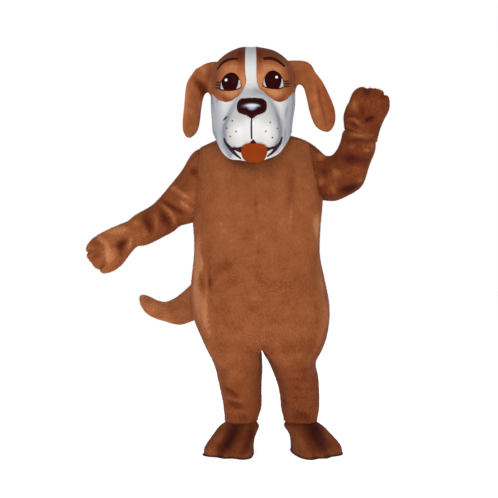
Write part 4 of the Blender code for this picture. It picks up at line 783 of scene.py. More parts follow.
def pile_material(shade, dye):
    """One dye of the tufts, with a paler sheen."""
    name = f"pile_dye_{shade}"
    material, _, principled = shader(name, 0.95, Sheen_Weight=0.06, Sheen_Roughness=0.5)
    principled.inputs["Base Color"].default_value = (*dye, 1.0)
    principled.inputs["Sheen Tint"].default_value = (*(min(1.0, c * 1.6) for c in dye), 1.0)
    material.diffuse_color = (*dye, 1.0)
    return material


def nap_group():
    """Soft grain of a napped cloth: a number round zero for its colour and a height for its bump."""
    tree = bpy.data.node_groups.new("napped grain", "ShaderNodeTree")
    for way, names in (("INPUT", ("Grain size", "Clump size")), ("OUTPUT", ("Tone", "Height"))):
        for name in names:
            tree.interface.new_socket(name, in_out=way, socket_type="NodeSocketFloat")
    given = add(tree, "NodeGroupInput").outputs
    where = add(tree, "ShaderNodeTexCoord").outputs["Object"]
    grains = []
    for size, detail in (("Grain size", 3.0), ("Clump size", 4.0)):
        scale = maths(tree, "DIVIDE", 1.0, given[size])
        grain = add(tree, "ShaderNodeTexNoise", {
            "Vector": where, "Scale": scale, "Detail": detail, "Roughness": 0.6,
        })
        grains.append(grain.outputs["Fac"])
    total = maths(tree, "ADD", *grains)
    add(tree, "NodeGroupOutput", {"Tone": maths(tree, "SUBTRACT", total, 1.0), "Height": total})
    return tree


def grained(tree, grain, clump):
    """The napped grain at its own two sizes, as its sockets."""
    sizes = {"Grain size": grain, "Clump size": clump}
    return add(tree, "ShaderNodeGroup", sizes, node_tree=TREES["nap"]).outputs


def raise_nap(tree, principled, height, distance, strength=0.8, invert=False):
    """Lets a height show in the light as a bump."""
    bump = add(tree, "ShaderNodeBump", {
        "Height": height, "Distance": distance, "Strength": strength,
    }, invert=invert)
    tree.links.new(bump.outputs["Normal"], principled.inputs["Normal"])


def blended(tree, mask, low, high):
    """A colour that goes from low to high as the mask goes from 0 to 1."""
    blend = add(tree, "ShaderNodeMix", {
        socket: (*colour, 1.0) if isinstance(colour, tuple) else colour
        for socket, colour in ((0, mask), (6, low), (7, high))
    }, data_type="RGBA")
    return blend.outputs[2]


def dyed_cloth(name, roughness, grain, clump, uneven, bump, sheen, palest):
    """Napped cloth that takes its colour from the shade on it."""
    material, tree, principled = shader(name, roughness, Sheen_Weight=sheen, Sheen_Roughness=0.45)
    nap = grained(tree, grain, clump)
    shade = add(tree, "ShaderNodeAttribute", attribute_name="shade").outputs["Fac"]
    mixed = maths(tree, "MULTIPLY_ADD", nap["Tone"], uneven, shade)
    capped = maths(tree, "MINIMUM", mixed, palest)
    dyes = add(tree, "ShaderNodeValToRGB", {"Fac": maths(tree, "DIVIDE", capped, TOP_SHADE)})
    ramp = dyes.color_ramp
    while len(ramp.elements) < len(DYES):
        ramp.elements.new(0.5)
    for i in range(len(DYES)):
        ramp.elements[i].position = i / TOP_SHADE
    for i, dye in enumerate(DYES):
        ramp.elements[i].color = (*dye, 1.0)
    tree.links.new(dyes.outputs["Color"], principled.inputs["Base Color"])
    raise_nap(tree, principled, nap["Height"], bump)
    return material


def mottled(name, low, high, roughness, grain, clump, bump, metallic=0.0):
    """A plain finish that wanders between two colours."""
    material, tree, principled = shader(name, roughness, Metallic=metallic)
    nap = grained(tree, grain, clump)
    share = maths(
        tree, "MULTIPLY_ADD", nap["Tone"], MOTTLE_CONTRAST, MOTTLE_MIDDLE, use_clamp=True
    )
    tree.links.new(blended(tree, share, low, high), principled.inputs["Base Color"])
    raise_nap(tree, principled, nap["Height"], bump)
    return material


def grip_sole():
    """Dark rubber with rows of round studs."""
    material, tree, principled = shader("grip_sole_rubber", 0.75)
    where = add(tree, "ShaderNodeTexCoord").outputs["Object"]
    studs = add(tree, "ShaderNodeTexVoronoi", {
        "Vector": where, "Scale": STUD_SCALE, "Randomness": 0.0,
    })
    share = add(tree, "ShaderNodeMapRange", {
        "Value": studs.outputs["Distance"], "From Min": STUD_EDGE[0], "From Max": STUD_EDGE[1],
    }).outputs["Result"]
    colour = blended(tree, share, STUD_TOP, STUD_GAP)
    tree.links.new(colour, principled.inputs["Base Color"])
    raise_nap(tree, principled, share, STUD_HEIGHT, strength=1.0, invert=True)
    return material


def round_mask(tree, where, spot, halves, soft):
    """1 inside an oval round spot on x and z, 0 outside it, over a soft edge."""
    place = add(tree, "ShaderNodeMapping", {
        "Vector": where,
        "Location": (spot[0], 0.0, spot[1]),
        "Scale": (halves[0], SPOT_DEPTH, halves[1]),
    }, vector_type="TEXTURE")
    away = add(tree, "ShaderNodeVectorMath", {0: place.outputs["Vector"]}, operation="LENGTH")
    inside = add(tree, "ShaderNodeMapRange", {
        "Value": away.outputs["Value"], "From Min": 1.0 + soft, "From Max": 1.0 - soft,
    }, interpolation_type="SMOOTHSTEP")
    return inside.outputs["Result"]


def sprayed(name, grain_scale, coat, coat_roughness):
    """A dark gloss to spray colours on: its material, tree, shader, places and fine grain."""
    material, tree, principled = shader(
        name, 0.6, Coat_Weight=coat, Coat_Roughness=coat_roughness, Specular_IOR_Level=0.02
    )
    where = add(tree, "ShaderNodeTexCoord").outputs["Object"]
    grain = add(tree, "ShaderNodeTexNoise", {"Vector": where, "Scale": grain_scale}).outputs["Fac"]
    return material, tree, principled, where, grain


# For each eye the iris, its painted highlight and the band of white behind the iris, each as its
# centre and half sizes on x and z.
EYES = (
    (
        ((-0.1003, 0.2372), (0.0372, 0.0500)),
        ((-0.1170, 0.2424), (0.0057, 0.0057)),
        ((-0.0986, 0.2223), (0.0750, 0.0213)),
    ),
    (
        ((0.0858, 0.2436), (0.0372, 0.0498)),
        ((0.1012, 0.2534), (0.0057, 0.0057)),
        ((0.0868, 0.2299), (0.0750, 0.0218)),
    ),
)
EYE_DARK = (0.020, 0.0012, 0.0010)
EYE_WHITE, EYE_SPARK = (0.54, 0.55, 0.60), (0.92, 0.92, 0.95)


def eye_gloss():
    """White of the eye, dark iris, dark lids and a painted highlight, from the place on the eye."""
    material, tree, principled, where, grain = sprayed("eye_gloss", 160.0, 0.02, 0.2)
    dark = blended(tree, grain, EYE_DARK, tuple(c * 1.5 for c in EYE_DARK))
    colour = dark
    for iris, spark, between in EYES:
        pale = blended(tree, round_mask(tree, where, *between, 0.08), colour, EYE_WHITE)
        ringed = blended(tree, round_mask(tree, where, *iris, 0.03), pale, dark)
        colour = blended(tree, round_mask(tree, where, *spark, 0.3), ringed, EYE_SPARK)
    tree.links.new(colour, principled.inputs["Base Color"])
    return material


# The painted highlights of the nose, sprayed on and standing in for its shine in the light: centre and half
# sizes on x and z, softness and colour.
NOSE_SHINE = (
    ((-0.0099, 0.1163), (0.0330, 0.0106), 0.5, (0.14, 0.17, 0.23)),
    ((-0.006, 0.1096), (0.0153, 0.0112), 0.6, (0.45, 0.50, 0.58)),
    ((-0.0052, 0.1169), (0.0248, 0.0065), 0.6, (0.80, 0.85, 0.90)),
)


def nose_gloss():
    """Dark moulded nose with a soft painted highlight, sprayed on and standing in for its shine."""
    material, tree, principled, where, grain = sprayed("nose_gloss", 220.0, 0.03, 0.3)
    colour = blended(tree, grain, (0.022, 0.0010, 0.0012), (0.036, 0.0018, 0.0022))
    for spot, halves, soft, paint in NOSE_SHINE:
        colour = blended(tree, round_mask(tree, where, spot, halves, soft), colour, paint)
    tree.links.new(colour, principled.inputs["Base Color"])
    raise_nap(tree, principled, grain, 0.0002)
    return material


# How each finish is made. A dyed cloth has its roughness, the sizes of its grain and clumps, how
# uneven its shade is, its bump, its sheen and its palest shade. A mottled finish has its two
# colours, roughness, grain, clumps and bump, and 1 at the end for metal.
FINISHES = {
    "plush": (dyed_cloth, "brown_plush_backing", 0.95, 0.004, 0.018, 0.9, 0.0012, 0.06, PALEST_DYE),
    "head_velour": (
        dyed_cloth, "brown_head_velour", 0.9, 0.0022, 0.012, 0.45, 0.0005, 0.05, PALEST_DYE,
    ),
    "face_velour": (
        dyed_cloth, "white_face_velour", 0.9, 0.0022, 0.012, 0.05, 0.0005, 0.05, TOP_SHADE,
    ),
    "lining": (
        mottled, "lining_knit",
        (0.28, 0.17, 0.10), (0.36, 0.23, 0.14), 0.95, 0.002, 0.03, 0.0004,
    ),
    "mouth": (
        mottled, "mouth_cloth",
        (0.035, 0.004, 0.004), (0.06, 0.009, 0.008), 0.9, 0.002, 0.02, 0.0003,
    ),
    "tongue": (
        mottled, "tongue_felt",
        (0.24, 0.030, 0.0015), (0.29, 0.040, 0.0025), 0.9, 0.0018, 0.015, 0.0004,
    ),
    "nose": (nose_gloss,),
    "line": (
        mottled, "face_line_felt",
        (0.024, 0.0022, 0.0018), (0.040, 0.0050, 0.0038), 0.9, 0.002, 0.02, 0.0002,
    ),
    "lip": (
        mottled, "lip_line_felt",
        (0.022, 0.010, 0.022), (0.045, 0.026, 0.048), 0.9, 0.002, 0.02, 0.0002,
    ),
    "tape": (
        mottled, "zip_tape_weave",
        (0.035, 0.012, 0.006), (0.055, 0.02, 0.01), 0.85, 0.001, 0.01, 0.0003,
    ),
    "metal": (
        mottled, "zip_metal",
        (0.32, 0.29, 0.24), (0.45, 0.41, 0.34), 0.35, 0.001, 0.008, 0.00005, 1.0,
    ),
    "grip": (grip_sole,),
    "eye": (eye_gloss,),
}


def finish(name):
    """The material of a finish, made when a piece first needs it."""
    if name not in PAINT:
        maker, *values = FINISHES[name]
        PAINT[name] = maker(*values)
    return PAINT[name]


def refinish(piece, name):
    """Takes off what a piece is finished in and gives it one finish."""
    piece.data.materials.clear()
    piece.data.materials.append(finish(name))


# ---------------------------------------------------------------- shades of the dyed cloth


def body_shade(points, normals):
    """Darker in the legs, at the ankles, at the sides of the chest and on the back."""
    x, y, z = points.T
    shade = np.full(len(points), 3.8)
    shade -= 0.35 * smooth(-0.42, -0.65, z)
    shade -= 0.55 * smooth(-0.95, -1.12, z)
    shade -= 0.35 * smooth(0.12, 0.20, x) * smooth(-0.80, -0.90, z)
    shade -= 0.5 * smooth(0.20, 0.32, np.abs(x - 0.03)) * smooth(-0.55, -0.30, z)
    shade -= 0.25 * smooth(-0.2, 0.6, normals[:, 1])
    return shade


def sleeve_right_shade(points, normals):
    """Dark from the shoulder to the elbow, and pale from there to the cuff."""
    x = points[:, 0]
    return 3.3 - 0.45 * smooth(-0.26, -0.33, x) + 0.95 * smooth(-0.42, -0.56, x)


def sleeve_left_shade(points, normals):
    return 2.25 - 0.1 * smooth(-0.05, 0.10, points[:, 2])


def foot_shade(points, normals):
    return 3.05 - 0.25 * smooth(0.1, 0.75, normals[:, 2]) - 0.25 * smooth(0.0, 0.2, points[:, 0])


def tail_shade(points, normals):
    return np.full(len(points), 4.35)


def ear_shade(points, normals):
    return 4.0 - 0.3 * smooth(0.0, 0.1, points[:, 0])


def crown_shade(points, normals):
    """Pale round the eyes, and dark on the top, at the sides and at the back of the head."""
    x, y, z = points.T
    shade = np.full(len(points), 3.6)
    for (centre, _), *_ in EYES:
        gap = np.hypot(x - centre[0] * 0.9, (z - centre[1]) * 0.95)
        shade += 1.45 * swell(gap, 0.0, 0.060) * (y < 0)
    shade -= (1.9 - 1.5 * smooth(-0.06, 0.06, y)) * smooth(0.300, 0.375, z)
    shade -= 0.7 * smooth(0.120, 0.175, np.abs(x)) * smooth(0.15, 0.26, z)
    shade -= 0.5 * smooth(-0.03, 0.05, y)
    shade += 0.2 * mottle(points * (1.0, 1.0, 0.3), 0.014, 83)
    return np.maximum(shade, 1.7)


SIDE_BROWN = 2.6  # the shade beside the eyes, where the white of the face ends


def face_shade(points, normals):
    """White, greyer along the flews, at the sides and on the brow, and brown beside the eyes."""
    x, y, z = points.T
    flat = points[:, [0, 2]]
    shade = np.full(len(points), float(TOP_SHADE))
    front = smooth(-0.02, -0.10, y)
    for line in FLEW_LINES:
        gap, along = to_line(flat, line_of(line, 1000))
        shade -= (0.25 + 0.85 * along) * swell(gap, 0.0, 0.011) * front
        shade -= 0.25 * swell(gap, 0.0, 0.03) * front
    shade -= 0.65 * smooth(0.115, 0.165, np.abs(x))
    blotches = smooth(0.0, 0.6, mottle(points * (1.0, 1.0, 0.35), 0.03, 81))
    shade -= 0.35 * blotches * smooth(0.10, 0.14, np.abs(x))
    shade -= 0.55 * smooth(0.28, 0.40, z)
    shade -= 0.5 * np.exp(-((x / 0.040) ** 2 + ((z - 0.185) / 0.022) ** 2))
    brown = smooth(0.190, 0.205, z) * smooth(0.060, 0.080, np.abs(x))
    return np.clip(shade, TOP_SHADE - 1, TOP_SHADE) * (1.0 - brown) + SIDE_BROWN * brown


SHADES = {
    **dict.fromkeys(PANELS, body_shade),
    **dict.fromkeys(("sleeve_right", "mitt_right"), sleeve_right_shade),
    **dict.fromkeys(("sleeve_left", "mitt_left"), sleeve_left_shade),
    **dict.fromkeys(("foot_cover_right", "foot_cover_left"), foot_shade),
    "tail": tail_shade,
    "head_crown": crown_shade,
    "head_face": face_shade,
}

# Which way the nap lies, on the nodes where it isn't straight down.
NAPS = {
    "sleeve_right": (-0.75, 0.0, -0.65),
    "mitt_right": (-0.55, -0.1, -0.8),
    "sleeve_left": (0.4, 0.0, 0.9),
    "mitt_left": (0.1, 0.0, 1.0),
    "foot_cover_right": (0.0, -1.0, -0.5),
    "foot_cover_left": (0.15, -1.0, -0.5),
    "tail": (-0.8, 0.4, 0.4),
    "head_crown": (0.0, 0.5, 0.6),
}
DOWNWARDS = (0.0, 0.0, -1.0)


def dress(node, name, levels, sink=SKIN_SINK, mottling=1.0):
    """The cloth on one node: rounded, sunk under its pile, folded, and marked with its shade, which
    holds painted shade in its creases and painted light on its ridges.
    """
    cloth = outer_cloth(node, name, levels)
    points, normals = places(cloth)
    crease_depth = bpy.context.scene.costume_sizes.crease_depth
    depth, painted_shade_and_marks = folded(points, normals, FOLDS.get(node, ()), crease_depth)
    pull = drawn_in(node, cloth, points)
    put(cloth, eased(node, points + normals * (depth - sink - pull)[:, None]))
    # the arms' painted shade and painted light along their folds are made stronger
    if node.startswith(("sleeve", "mitt")):
        painted_shade_and_marks *= np.where(painted_shade_and_marks < 0, ARM_DARKS, ARM_LIGHTS)
    # the shade of the dye, darkened by painted shade in the creases and paled by painted light on the
    # ridges
    shade = SHADES[node](points, normals) + painted_shade_and_marks
    broad, fine = (strength * mottle(points, size, seed) for size, strength, seed in PATCHES)
    shade += mottling * (broad + fine)
    if node != "head_face":
        shade = np.clip(shade, 0.0, PALEST_PLUSH)
    nap = np.array(Vector(NAPS.get(node, DOWNWARDS)))
    swirl = np.stack([mottle(points, NAP_PATCHES, seed) for seed in NAP_SEEDS], axis=1)
    store(cloth, "shade", shade)
    store(cloth, "nap", nap[None, :] + NAP_SWIRL * swirl)
    length, uneven = PILE_LENGTHS
    store(cloth, "pile", length + uneven * mottle(points, PILE_PATCHES, PILE_SEED))
    store(cloth, "cover", smooth(SOLE_TOP, SOLE_TOP + SOLE_FADE, points[:, 2]))
    return cloth


def area_of(piece):
    """How much cloth a sheet takes, in square metres."""
    return sum(p.area for p in piece.data.polygons)


def plush(node, name, levels, seed):
    """A plush-covered CAD node: its backing cloth, the pile on it, and the area of its cloth."""
    sizes = bpy.context.scene.costume_sizes
    cloth = dress(node, name, levels)
    refinish(cloth, "plush")
    area = area_of(cloth)
    pile = lay_pile(cloth, f"{name}_pile", sizes.pile_gap, seed)
    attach(pile, node_body(node))
    wall(cloth, sizes.cloth_thickness, finish("lining"))
    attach(cloth, node_body(node))
    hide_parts(node)
    return cloth, [pile], area


def node_body(node):
    """The moving body that a CAD node belongs to."""
    return next(b for b, ns in frame["record"]["behaviour"]["bodies"].items() if node in ns)


# ---------------------------------------------------------------- settings


class CostumeSizes(bpy.types.PropertyGroup):
    """Sizes of the costume's cloth and pile."""

    pile_length: FloatProperty(
        name="Pile length", description="Length of one tuft", default=0.0085, unit="LENGTH"
    )
    pile_width: FloatProperty(
        name="Tuft width", description="Width of one tuft at its root", default=0.0030, unit="LENGTH"
    )
    pile_gap: FloatProperty(
        name="Tuft spacing",
        description="Least distance between two tufts",
        default=0.0030,
        unit="LENGTH",
    )
    pile_lean: FloatProperty(
        name="Pile lean",
        description="How steeply a tuft rises, as a share of its length",
        default=0.45,
    )
    cloth_thickness: FloatProperty(
        name="Backing thickness",
        description="Thickness of the cloth under the pile",
        default=0.002,
        unit="LENGTH",
    )
    crease_depth: FloatProperty(
        name="Crease depth", description="Depth of the creases, 1 for those of the pattern", default=1.0
    )


class CostumeStage(bpy.types.PropertyGroup):
    """Floor and lights."""

    floor_radius: FloatProperty(
        name="Floor radius", description="Radius of the floor", default=14.0, unit="LENGTH"
    )
    key_power: FloatProperty(
        name="Key light",
        description="Power of the large light in front",
        default=74.0,
        unit="POWER",
    )
    air: FloatProperty(
        name="Room light", description="Strength of the light from all round", default=0.39
    )
    floor_colour: FloatVectorProperty(
        name="Floor colour",
        description="Colour of the floor",
        subtype="COLOR",
        default=(0.90, 0.90, 0.90),
    )


# ---------------------------------------------------------------- operators


class COSTUME_OT_materials(bpy.types.Operator):
    """Mix the dyes, the nap and the tufts that every plush piece uses"""

    bl_idname = "costume.materials"
    bl_label = "Dyes and pile"

    def execute(self, context):
        sizes = context.scene.costume_sizes
        TREES["nap"] = nap_group()
        TREES["rack"] = tuft_rack(sizes.pile_length, sizes.pile_width, sizes.pile_lean)
        TREES["pile"] = pile_tree()
        return {"FINISHED"}


class COSTUME_OT_body(bpy.types.Operator):
    """Sew the four panels of the body and legs"""

    bl_idname = "costume.body"
    bl_label = "Body panels"

    def execute(self, context):
        for seed, node in enumerate(PANELS):
            cloth, extra, area = plush(node, node.replace("suit", "plush"), 3, 10 + seed)
        return {"FINISHED"}


class COSTUME_OT_sleeves(bpy.types.Operator):
    """Sew the sleeves and the mitts on their ends"""

    bl_idname = "costume.sleeves"
    bl_label = "Sleeves and mitts"

    def execute(self, context):
        for seed, (node, flat) in enumerate((
            ("sleeve_right", (0.50, 0.60)),
            ("sleeve_left", (0.50, 0.60)),
            ("mitt_right", (0.46, 0.34)),
            ("mitt_left", (0.46, 0.34)),
        )):
            cloth, extra, area = plush(node, f"plush_{node}", 2, 20 + seed)
        return {"FINISHED"}


class COSTUME_OT_feet(bpy.types.Operator):
    """Sew the foot covers and fit their grip soles"""

    bl_idname = "costume.feet"
    bl_label = "Feet"

    def execute(self, context):
        for seed, side in enumerate(("right", "left")):
            cloth, extra, area = plush(f"foot_cover_{side}", f"plush_foot_{side}", 2, 30 + seed)
            refinish(frame["nodes"][f"foot_sole_{side}"], "grip")
        return {"FINISHED"}


class COSTUME_OT_tail(bpy.types.Operator):
    """Cover the stuffed tail with plush"""

    bl_idname = "costume.tail"
    bl_label = "Tail"

    def execute(self, context):
        cloth, *_ = plush("tail", "plush_tail", 2, 40)
        return {"FINISHED"}


def skin(node, name, paint):
    """A rounded copy of a small CAD node in one finish."""
    bm = merged_copy(node)
    in_quads(bm)
    crease = bm.edges.layers.float.new("crease_edge")
    for edge in bm.edges:
        if len(edge.link_faces) == 2 and edge.calc_face_angle(0.0) > SHARP:
            edge[crease] = CORNER
    piece = subdivided(bm, name, 2)
    refinish(piece, paint)
    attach(piece, node_body(node))
    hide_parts(node)
    return piece


class COSTUME_OT_head(bpy.types.Operator):
    """Cover the moulded head in velour"""

    bl_idname = "costume.head"
    bl_label = "Head"

    def execute(self, context):
        for node, name, flat, mottling, paint, slot_name in (
            ("head_crown", "velour_crown", (0.80, 0.62), 0.35, "head_velour", "brown_plush"),
            ("head_face", "velour_face", (0.62, 0.62), 0.0, "face_velour", "white_plush"),
        ):
            cloth = dress(node, name, 2, sink=VELOUR_SINK, mottling=mottling)
            refinish(cloth, paint)
            wall(cloth, VELOUR_THICKNESS, finish("lining"))
            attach(cloth, "head")
            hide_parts(node)
            HEAD.append(cloth)
        return {"FINISHED"}


class COSTUME_OT_ears(bpy.types.Operator):
    """Sew the ears"""

    bl_idname = "costume.ears"
    bl_label = "Ears"

    def execute(self, context):
        crease_depth = context.scene.costume_sizes.crease_depth
        for seed, side in enumerate(("right", "left")):
            piece = skin(f"ear_{side}", f"velour_ear_{side}", "plush")
            points, normals = places(piece)
            points = eased(f"ear_{side}", points)
            depth, painted_shade_and_marks = folded(points, normals, EAR_FOLDS, crease_depth)
            put(piece, points + normals * depth[:, None])
            # the ear's shade, with painted shadow at the fold of its root, painted shade in its creases and
            # painted light on its ridges
            shade = ear_shade(points, normals) + painted_shade_and_marks
            broad, fine = mottle(points, 0.035, 60 + seed), mottle(points, 0.012, 70 + seed)
            shade += 0.35 * broad + 0.12 * fine
            store(piece, "shade", np.clip(shade, 0.0, PALEST_EAR))
        return {"FINISHED"}


class COSTUME_OT_face(bpy.types.Operator):
    """Set the eyes, nose, mouth and tongue, and lay the dark lines of the face"""

    bl_idname = "costume.face"
    bl_label = "Face"

    def execute(self, context):
        for side in ("right", "left"):
            eye = skin(f"eye_{side}", f"eye_dome_{side}", "eye")
            points = places(eye)[0]
            put(eye, on_dome(points, reshaped(points, EYE_OUTLINES[side])))
        nose = skin("nose", "moulded_nose", "nose")
        put(nose, reshaped(places(nose)[0], NOSE_OUTLINE))
        mouth = skin("mouth_lining", "mouth_cloth_lining", "mouth")
        put(mouth, eased("mouth_lining", places(mouth)[0]))
        tongue = skin("tongue", "felt_tongue", "tongue")
        lines = face_lines()
        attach(lines, "head")
        return {"FINISHED"}


def reshaped(points, outline):
    """Brings the edge of a small moulded form, seen from the front, to its outline."""
    outline = line_of(outline, 10000)
    middle = 0.5 * (outline.min(axis=0) + outline.max(axis=0))
    away = outline - middle
    flat = points[:, [0, 2]] - 0.5 * (points.min(axis=0) + points.max(axis=0))[[0, 2]]
    angle, reach = np.arctan2(flat[:, 1], flat[:, 0]), np.hypot(*flat.T)
    turns = np.linspace(-math.pi, math.pi, OUTLINE_STEPS)
    apart = np.abs(np.angle(np.exp(1j * (angle[None, :] - turns[:, None]))))
    near = apart < OUTLINE_WINDOW
    edge = np.where(near, reach[None, :], 0.0).max(axis=1)
    edge = np.interp(angle, turns, edge, period=2 * math.pi)
    ways = np.arctan2(away[:, 1], away[:, 0])
    wanted = np.interp(angle, ways, np.hypot(*away.T), period=2 * math.pi)
    share = 1.0 + (wanted / edge - 1.0) * smooth(0.0, OUTLINE_CORE, reach / edge)
    shaped = points.copy()
    shaped[:, [0, 2]] = middle + flat * share[:, None]
    return shaped


def on_dome(old, new):
    """Slides reshaped points back with the curve of the head, so that a wider form stays on it."""
    before, after = (
        HEAD_DEPTH * np.sqrt(np.clip(1.0 - (p[:, 0] / HEAD_HALF) ** 2, 0.04, 1.0)) for p in (old, new)
    )
    new[:, 1] += before - after
    return new


def face_lines():
    """Narrow strips and dots of felt that follow the head."""
    tree, bm = BVHTree.FromPolygons(*shell_of(HEAD)), bmesh.new()
    for felt, rows in enumerate((BROWS, LIPS)):
        for start, middle, end, *line in rows:
            felt_strip(bm, tree, felt, np.array((start, middle, end)) / 10000, line_of(line, 10000))
    for x, z in line_of(DOTS, 10000):
        dot = bmesh.ops.create_circle(bm, cap_ends=True, segments=DOT_SIDES, radius=DOT_SIZE)["verts"]
        in_felt(dot, 1)
        for vert in dot:
            vert.co = on_face(tree, x + vert.co.x, z + vert.co.y, LINE_LIFT)
    bmesh.ops.recalc_face_normals(bm, faces=bm.faces)
    bmesh.ops.reverse_faces(bm, faces=[face for face in bm.faces if face.normal.y > 0])
    piece = piece_of(bm, "face_lines")
    step = piece.modifiers.new("felt", "SOLIDIFY")
    step.thickness = FELT_THICKNESS
    step.offset = 0.0
    for paint in ("line", "lip"):
        piece.data.materials.append(finish(paint))
    settle(piece)
    return piece


def in_felt(verts, felt):
    """Puts the faces of a new shape in the first or the second felt."""
    for face in {face for vert in verts for face in vert.link_faces}:
        face.material_index = felt


def felt_strip(bm, tree, felt, widths, line):
    """One strip that swells from its start to its middle and narrows to its end."""
    fine = resampled(line, LINE_STEPS + 1)
    strip = bmesh.ops.create_grid(bm, x_segments=LINE_STEPS, y_segments=2, size=1.0)["verts"]
    in_felt(strip, felt)
    for vert in strip:
        i = round((vert.co.x + 1.0) * 0.5 * LINE_STEPS)
        tip = widths[0] if i * 2 < LINE_STEPS else widths[2]
        half = 0.5 * (tip + (widths[1] - tip) * math.sin(math.pi * i / LINE_STEPS))
        ahead, behind = fine[min(i + 1, LINE_STEPS)], fine[max(i - 1, 0)]
        across = Vector((behind[1] - ahead[1], ahead[0] - behind[0])).normalized() * half * vert.co.y
        vert.co = on_face(tree, fine[i][0] + across[0], fine[i][1] + across[1], LINE_LIFT)


def shell_of(pieces):
    """The points and faces of some pieces as one surface."""
    verts, faces = [], []
    for piece in pieces:
        start = len(verts)
        verts += [v.co.copy() for v in piece.data.vertices]
        faces += [[start + i for i in p.vertices] for p in piece.data.polygons]
    return verts, faces


def on_face(tree, x, z, lift):
    """The place on the face that lies behind x and z, lifted off it."""
    hit, normal, _, _ = tree.ray_cast(Vector((x, -1.0, z)), Vector((0, 1, 0)))
    if hit is None:
        hit, normal, _, _ = tree.find_nearest(Vector((x, -0.2, z)))
    if normal.y > 0:
        normal.negate()
    return hit + normal * lift


def resampled(line, count):
    """Places at even steps along the smooth curve through a line."""
    line = [Vector(p) for p in line]
    lengths = [0.0]
    for a, b in zip(line[:-1], line[1:]):
        lengths.append(lengths[-1] + (b - a).length)
    out = []
    for i in range(count):
        at = lengths[-1] * i / (count - 1)
        k = max(j for j in range(len(line) - 1) if lengths[j] <= at + 1e-12)
        share = (at - lengths[k]) / (lengths[k + 1] - lengths[k])
        p0, p3 = line[max(k - 1, 0)], line[min(k + 2, len(line) - 1)]
        p1, p2 = line[k], line[k + 1]
        out.append(
            0.5 * ((2 * p1) + (p2 - p0) * share + (2 * p0 - 5 * p1 + 4 * p2 - p3) * share**2
                   + (3 * p1 - p0 - 3 * p2 + p3) * share**3)
        )
    return out


class COSTUME_OT_zip(bpy.types.Operator):
    """Finish the zip in the back"""

    bl_idname = "costume.zip"
    bl_label = "Zip"

    def execute(self, context):
        refinish(frame["nodes"]["zip_tape"], "tape")
        for node in ("zip_slider", "zip_pull_tab"):
            refinish(frame["nodes"][node], "metal")
        teeth = zip_teeth()
        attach(teeth, "suit")
        return {"FINISHED"}


def zip_teeth():
    """Two rows of small blocks that mesh along the middle of the tape."""
    tape = np.array([vert.co for vert in frame["nodes"]["zip_tape"].data.vertices])
    levels = np.unique(tape[:, 2].round(3))
    rungs = [tape[np.abs(tape[:, 2] - level) < 0.001] for level in levels]
    bm = bmesh.new()
    for z in np.arange(levels[0] + TOOTH_MARGIN, levels[-1] - TOOTH_MARGIN, TOOTH_PITCH):
        middle = np.interp(z, levels, [rung[:, 0].mean() for rung in rungs])
        outer = np.interp(z, levels, [rung[:, 1].max() for rung in rungs])
        for side in (-1, 1):
            place = Vector((
                middle + side * TOOTH_OFFSET, outer + TOOTH_RISE, z + side * TOOTH_PITCH / 4
            ))
            size = Matrix.Diagonal((*TOOTH_SIZE, 1.0))
            bmesh.ops.create_cube(bm, size=1.0, matrix=Matrix.Translation(place) @ size)
    teeth = piece_of(bm, "zip_teeth")
    refinish(teeth, "metal")
    return teeth


def floor_sheet(stage):
    """A round glowing floor just under the soles."""
    bm = bmesh.new()
    bmesh.ops.create_circle(bm, cap_ends=True, segments=96, radius=stage.floor_radius)
    for vert in bm.verts:
        vert.co.z = CAD_BOX[0][2] - FLOOR_DROP
    floor = piece_of(bm, "studio_floor")
    material, _, principled = shader("studio_floor", 0.9)
    principled.inputs["Base Color"].default_value = (*stage.floor_colour, 1.0)
    principled.inputs["Emission Color"].default_value = (1.0, 1.0, 1.0, 1.0)
    principled.inputs["Emission Strength"].default_value = FLOOR_GLOW
    floor.data.materials.append(material)
    return floor


def soft_room(air):
    """A white room that looks brighter than it lights."""
    world = bpy.data.worlds.new("soft room")
    world.use_nodes = True
    tree = world.node_tree
    seen = add(tree, "ShaderNodeLightPath").outputs["Is Camera Ray"]
    bright = add(tree, "ShaderNodeMapRange", {"Value": seen, "To Min": air, "To Max": 1.0})
    back = tree.nodes["Background"]
    back.inputs["Color"].default_value = (1.0, 1.0, 1.0, 1.0)
    tree.links.new(bright.outputs["Result"], back.inputs["Strength"])
    return world


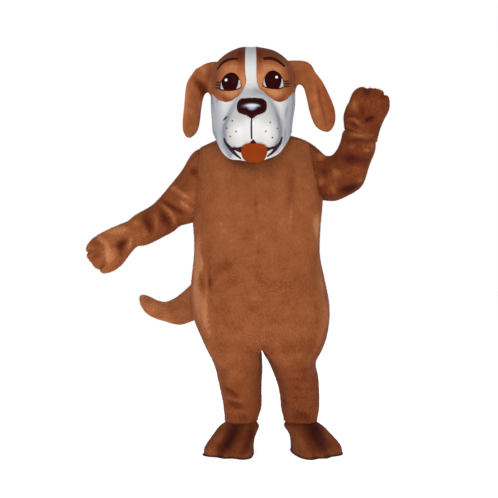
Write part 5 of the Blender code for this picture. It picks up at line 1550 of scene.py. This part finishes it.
class COSTUME_OT_stage(bpy.types.Operator):
    """Lay the floor and set the lights and the camera"""

    bl_idname = "costume.stage"
    bl_label = "Stage"

    def execute(self, context):
        scene, stage = context.scene, context.scene.costume_stage
        floor_sheet(stage)
        scene.world = soft_room(stage.air)
        for name, place, size, share in LAMPS:
            lamp = bpy.data.lights.new(name, "AREA")
            lamp.energy = stage.key_power * share
            lamp.size = size
            ob = bpy.data.objects.new(name, lamp)
            scene.collection.objects.link(ob)
            ob.location = place
            aim = Vector(LAMP_AIM) - Vector(place)
            ob.rotation_euler = aim.to_track_quat("-Z", "Y").to_euler()
        camera = bpy.data.cameras.new("camera")
        camera.lens, camera.sensor_width, camera.shift_y = CAMERA_LENS, CAMERA_SENSOR, CAMERA_SHIFT
        ob = bpy.data.objects.new("camera", camera)
        scene.collection.objects.link(ob)
        ob.location = CAMERA_PLACE
        ob.rotation_euler = (math.pi / 2, 0.0, 0.0)
        scene.camera = ob
        scene.view_settings.view_transform = "Standard"
        return {"FINISHED"}


OPERATORS = (
    COSTUME_OT_materials,
    COSTUME_OT_body,
    COSTUME_OT_sleeves,
    COSTUME_OT_feet,
    COSTUME_OT_tail,
    COSTUME_OT_head,
    COSTUME_OT_ears,
    COSTUME_OT_face,
    COSTUME_OT_zip,
    COSTUME_OT_stage,
)


class COSTUME_PT_panel(bpy.types.Panel):
    """The costume's sizes and pieces"""

    bl_idname = "COSTUME_PT_panel"
    bl_label = "Dog mascot costume"
    bl_space_type = "VIEW_3D"
    bl_region_type = "UI"
    bl_category = "Costume"

    def draw(self, context):
        for group in (context.scene.costume_sizes, context.scene.costume_stage):
            for name in group.bl_rna.properties.keys():
                if name not in ("rna_type", "name"):
                    self.layout.prop(group, name)
        for operator in OPERATORS:
            self.layout.operator(operator.bl_idname)


CLASSES = (CostumeSizes, CostumeStage, *OPERATORS, COSTUME_PT_panel)


def register():
    for cls in CLASSES:
        bpy.utils.register_class(cls)
    bpy.types.Scene.costume_sizes = PointerProperty(type=CostumeSizes)
    bpy.types.Scene.costume_stage = PointerProperty(type=CostumeStage)


def unregister():
    del bpy.types.Scene.costume_stage
    del bpy.types.Scene.costume_sizes
    for cls in reversed(CLASSES):
        bpy.utils.unregister_class(cls)


def main():
    register()
    for operator in OPERATORS:
        group, name = operator.bl_idname.split(".")
        getattr(getattr(bpy.ops, group), name)()


if __name__ == "__main__":
    main()
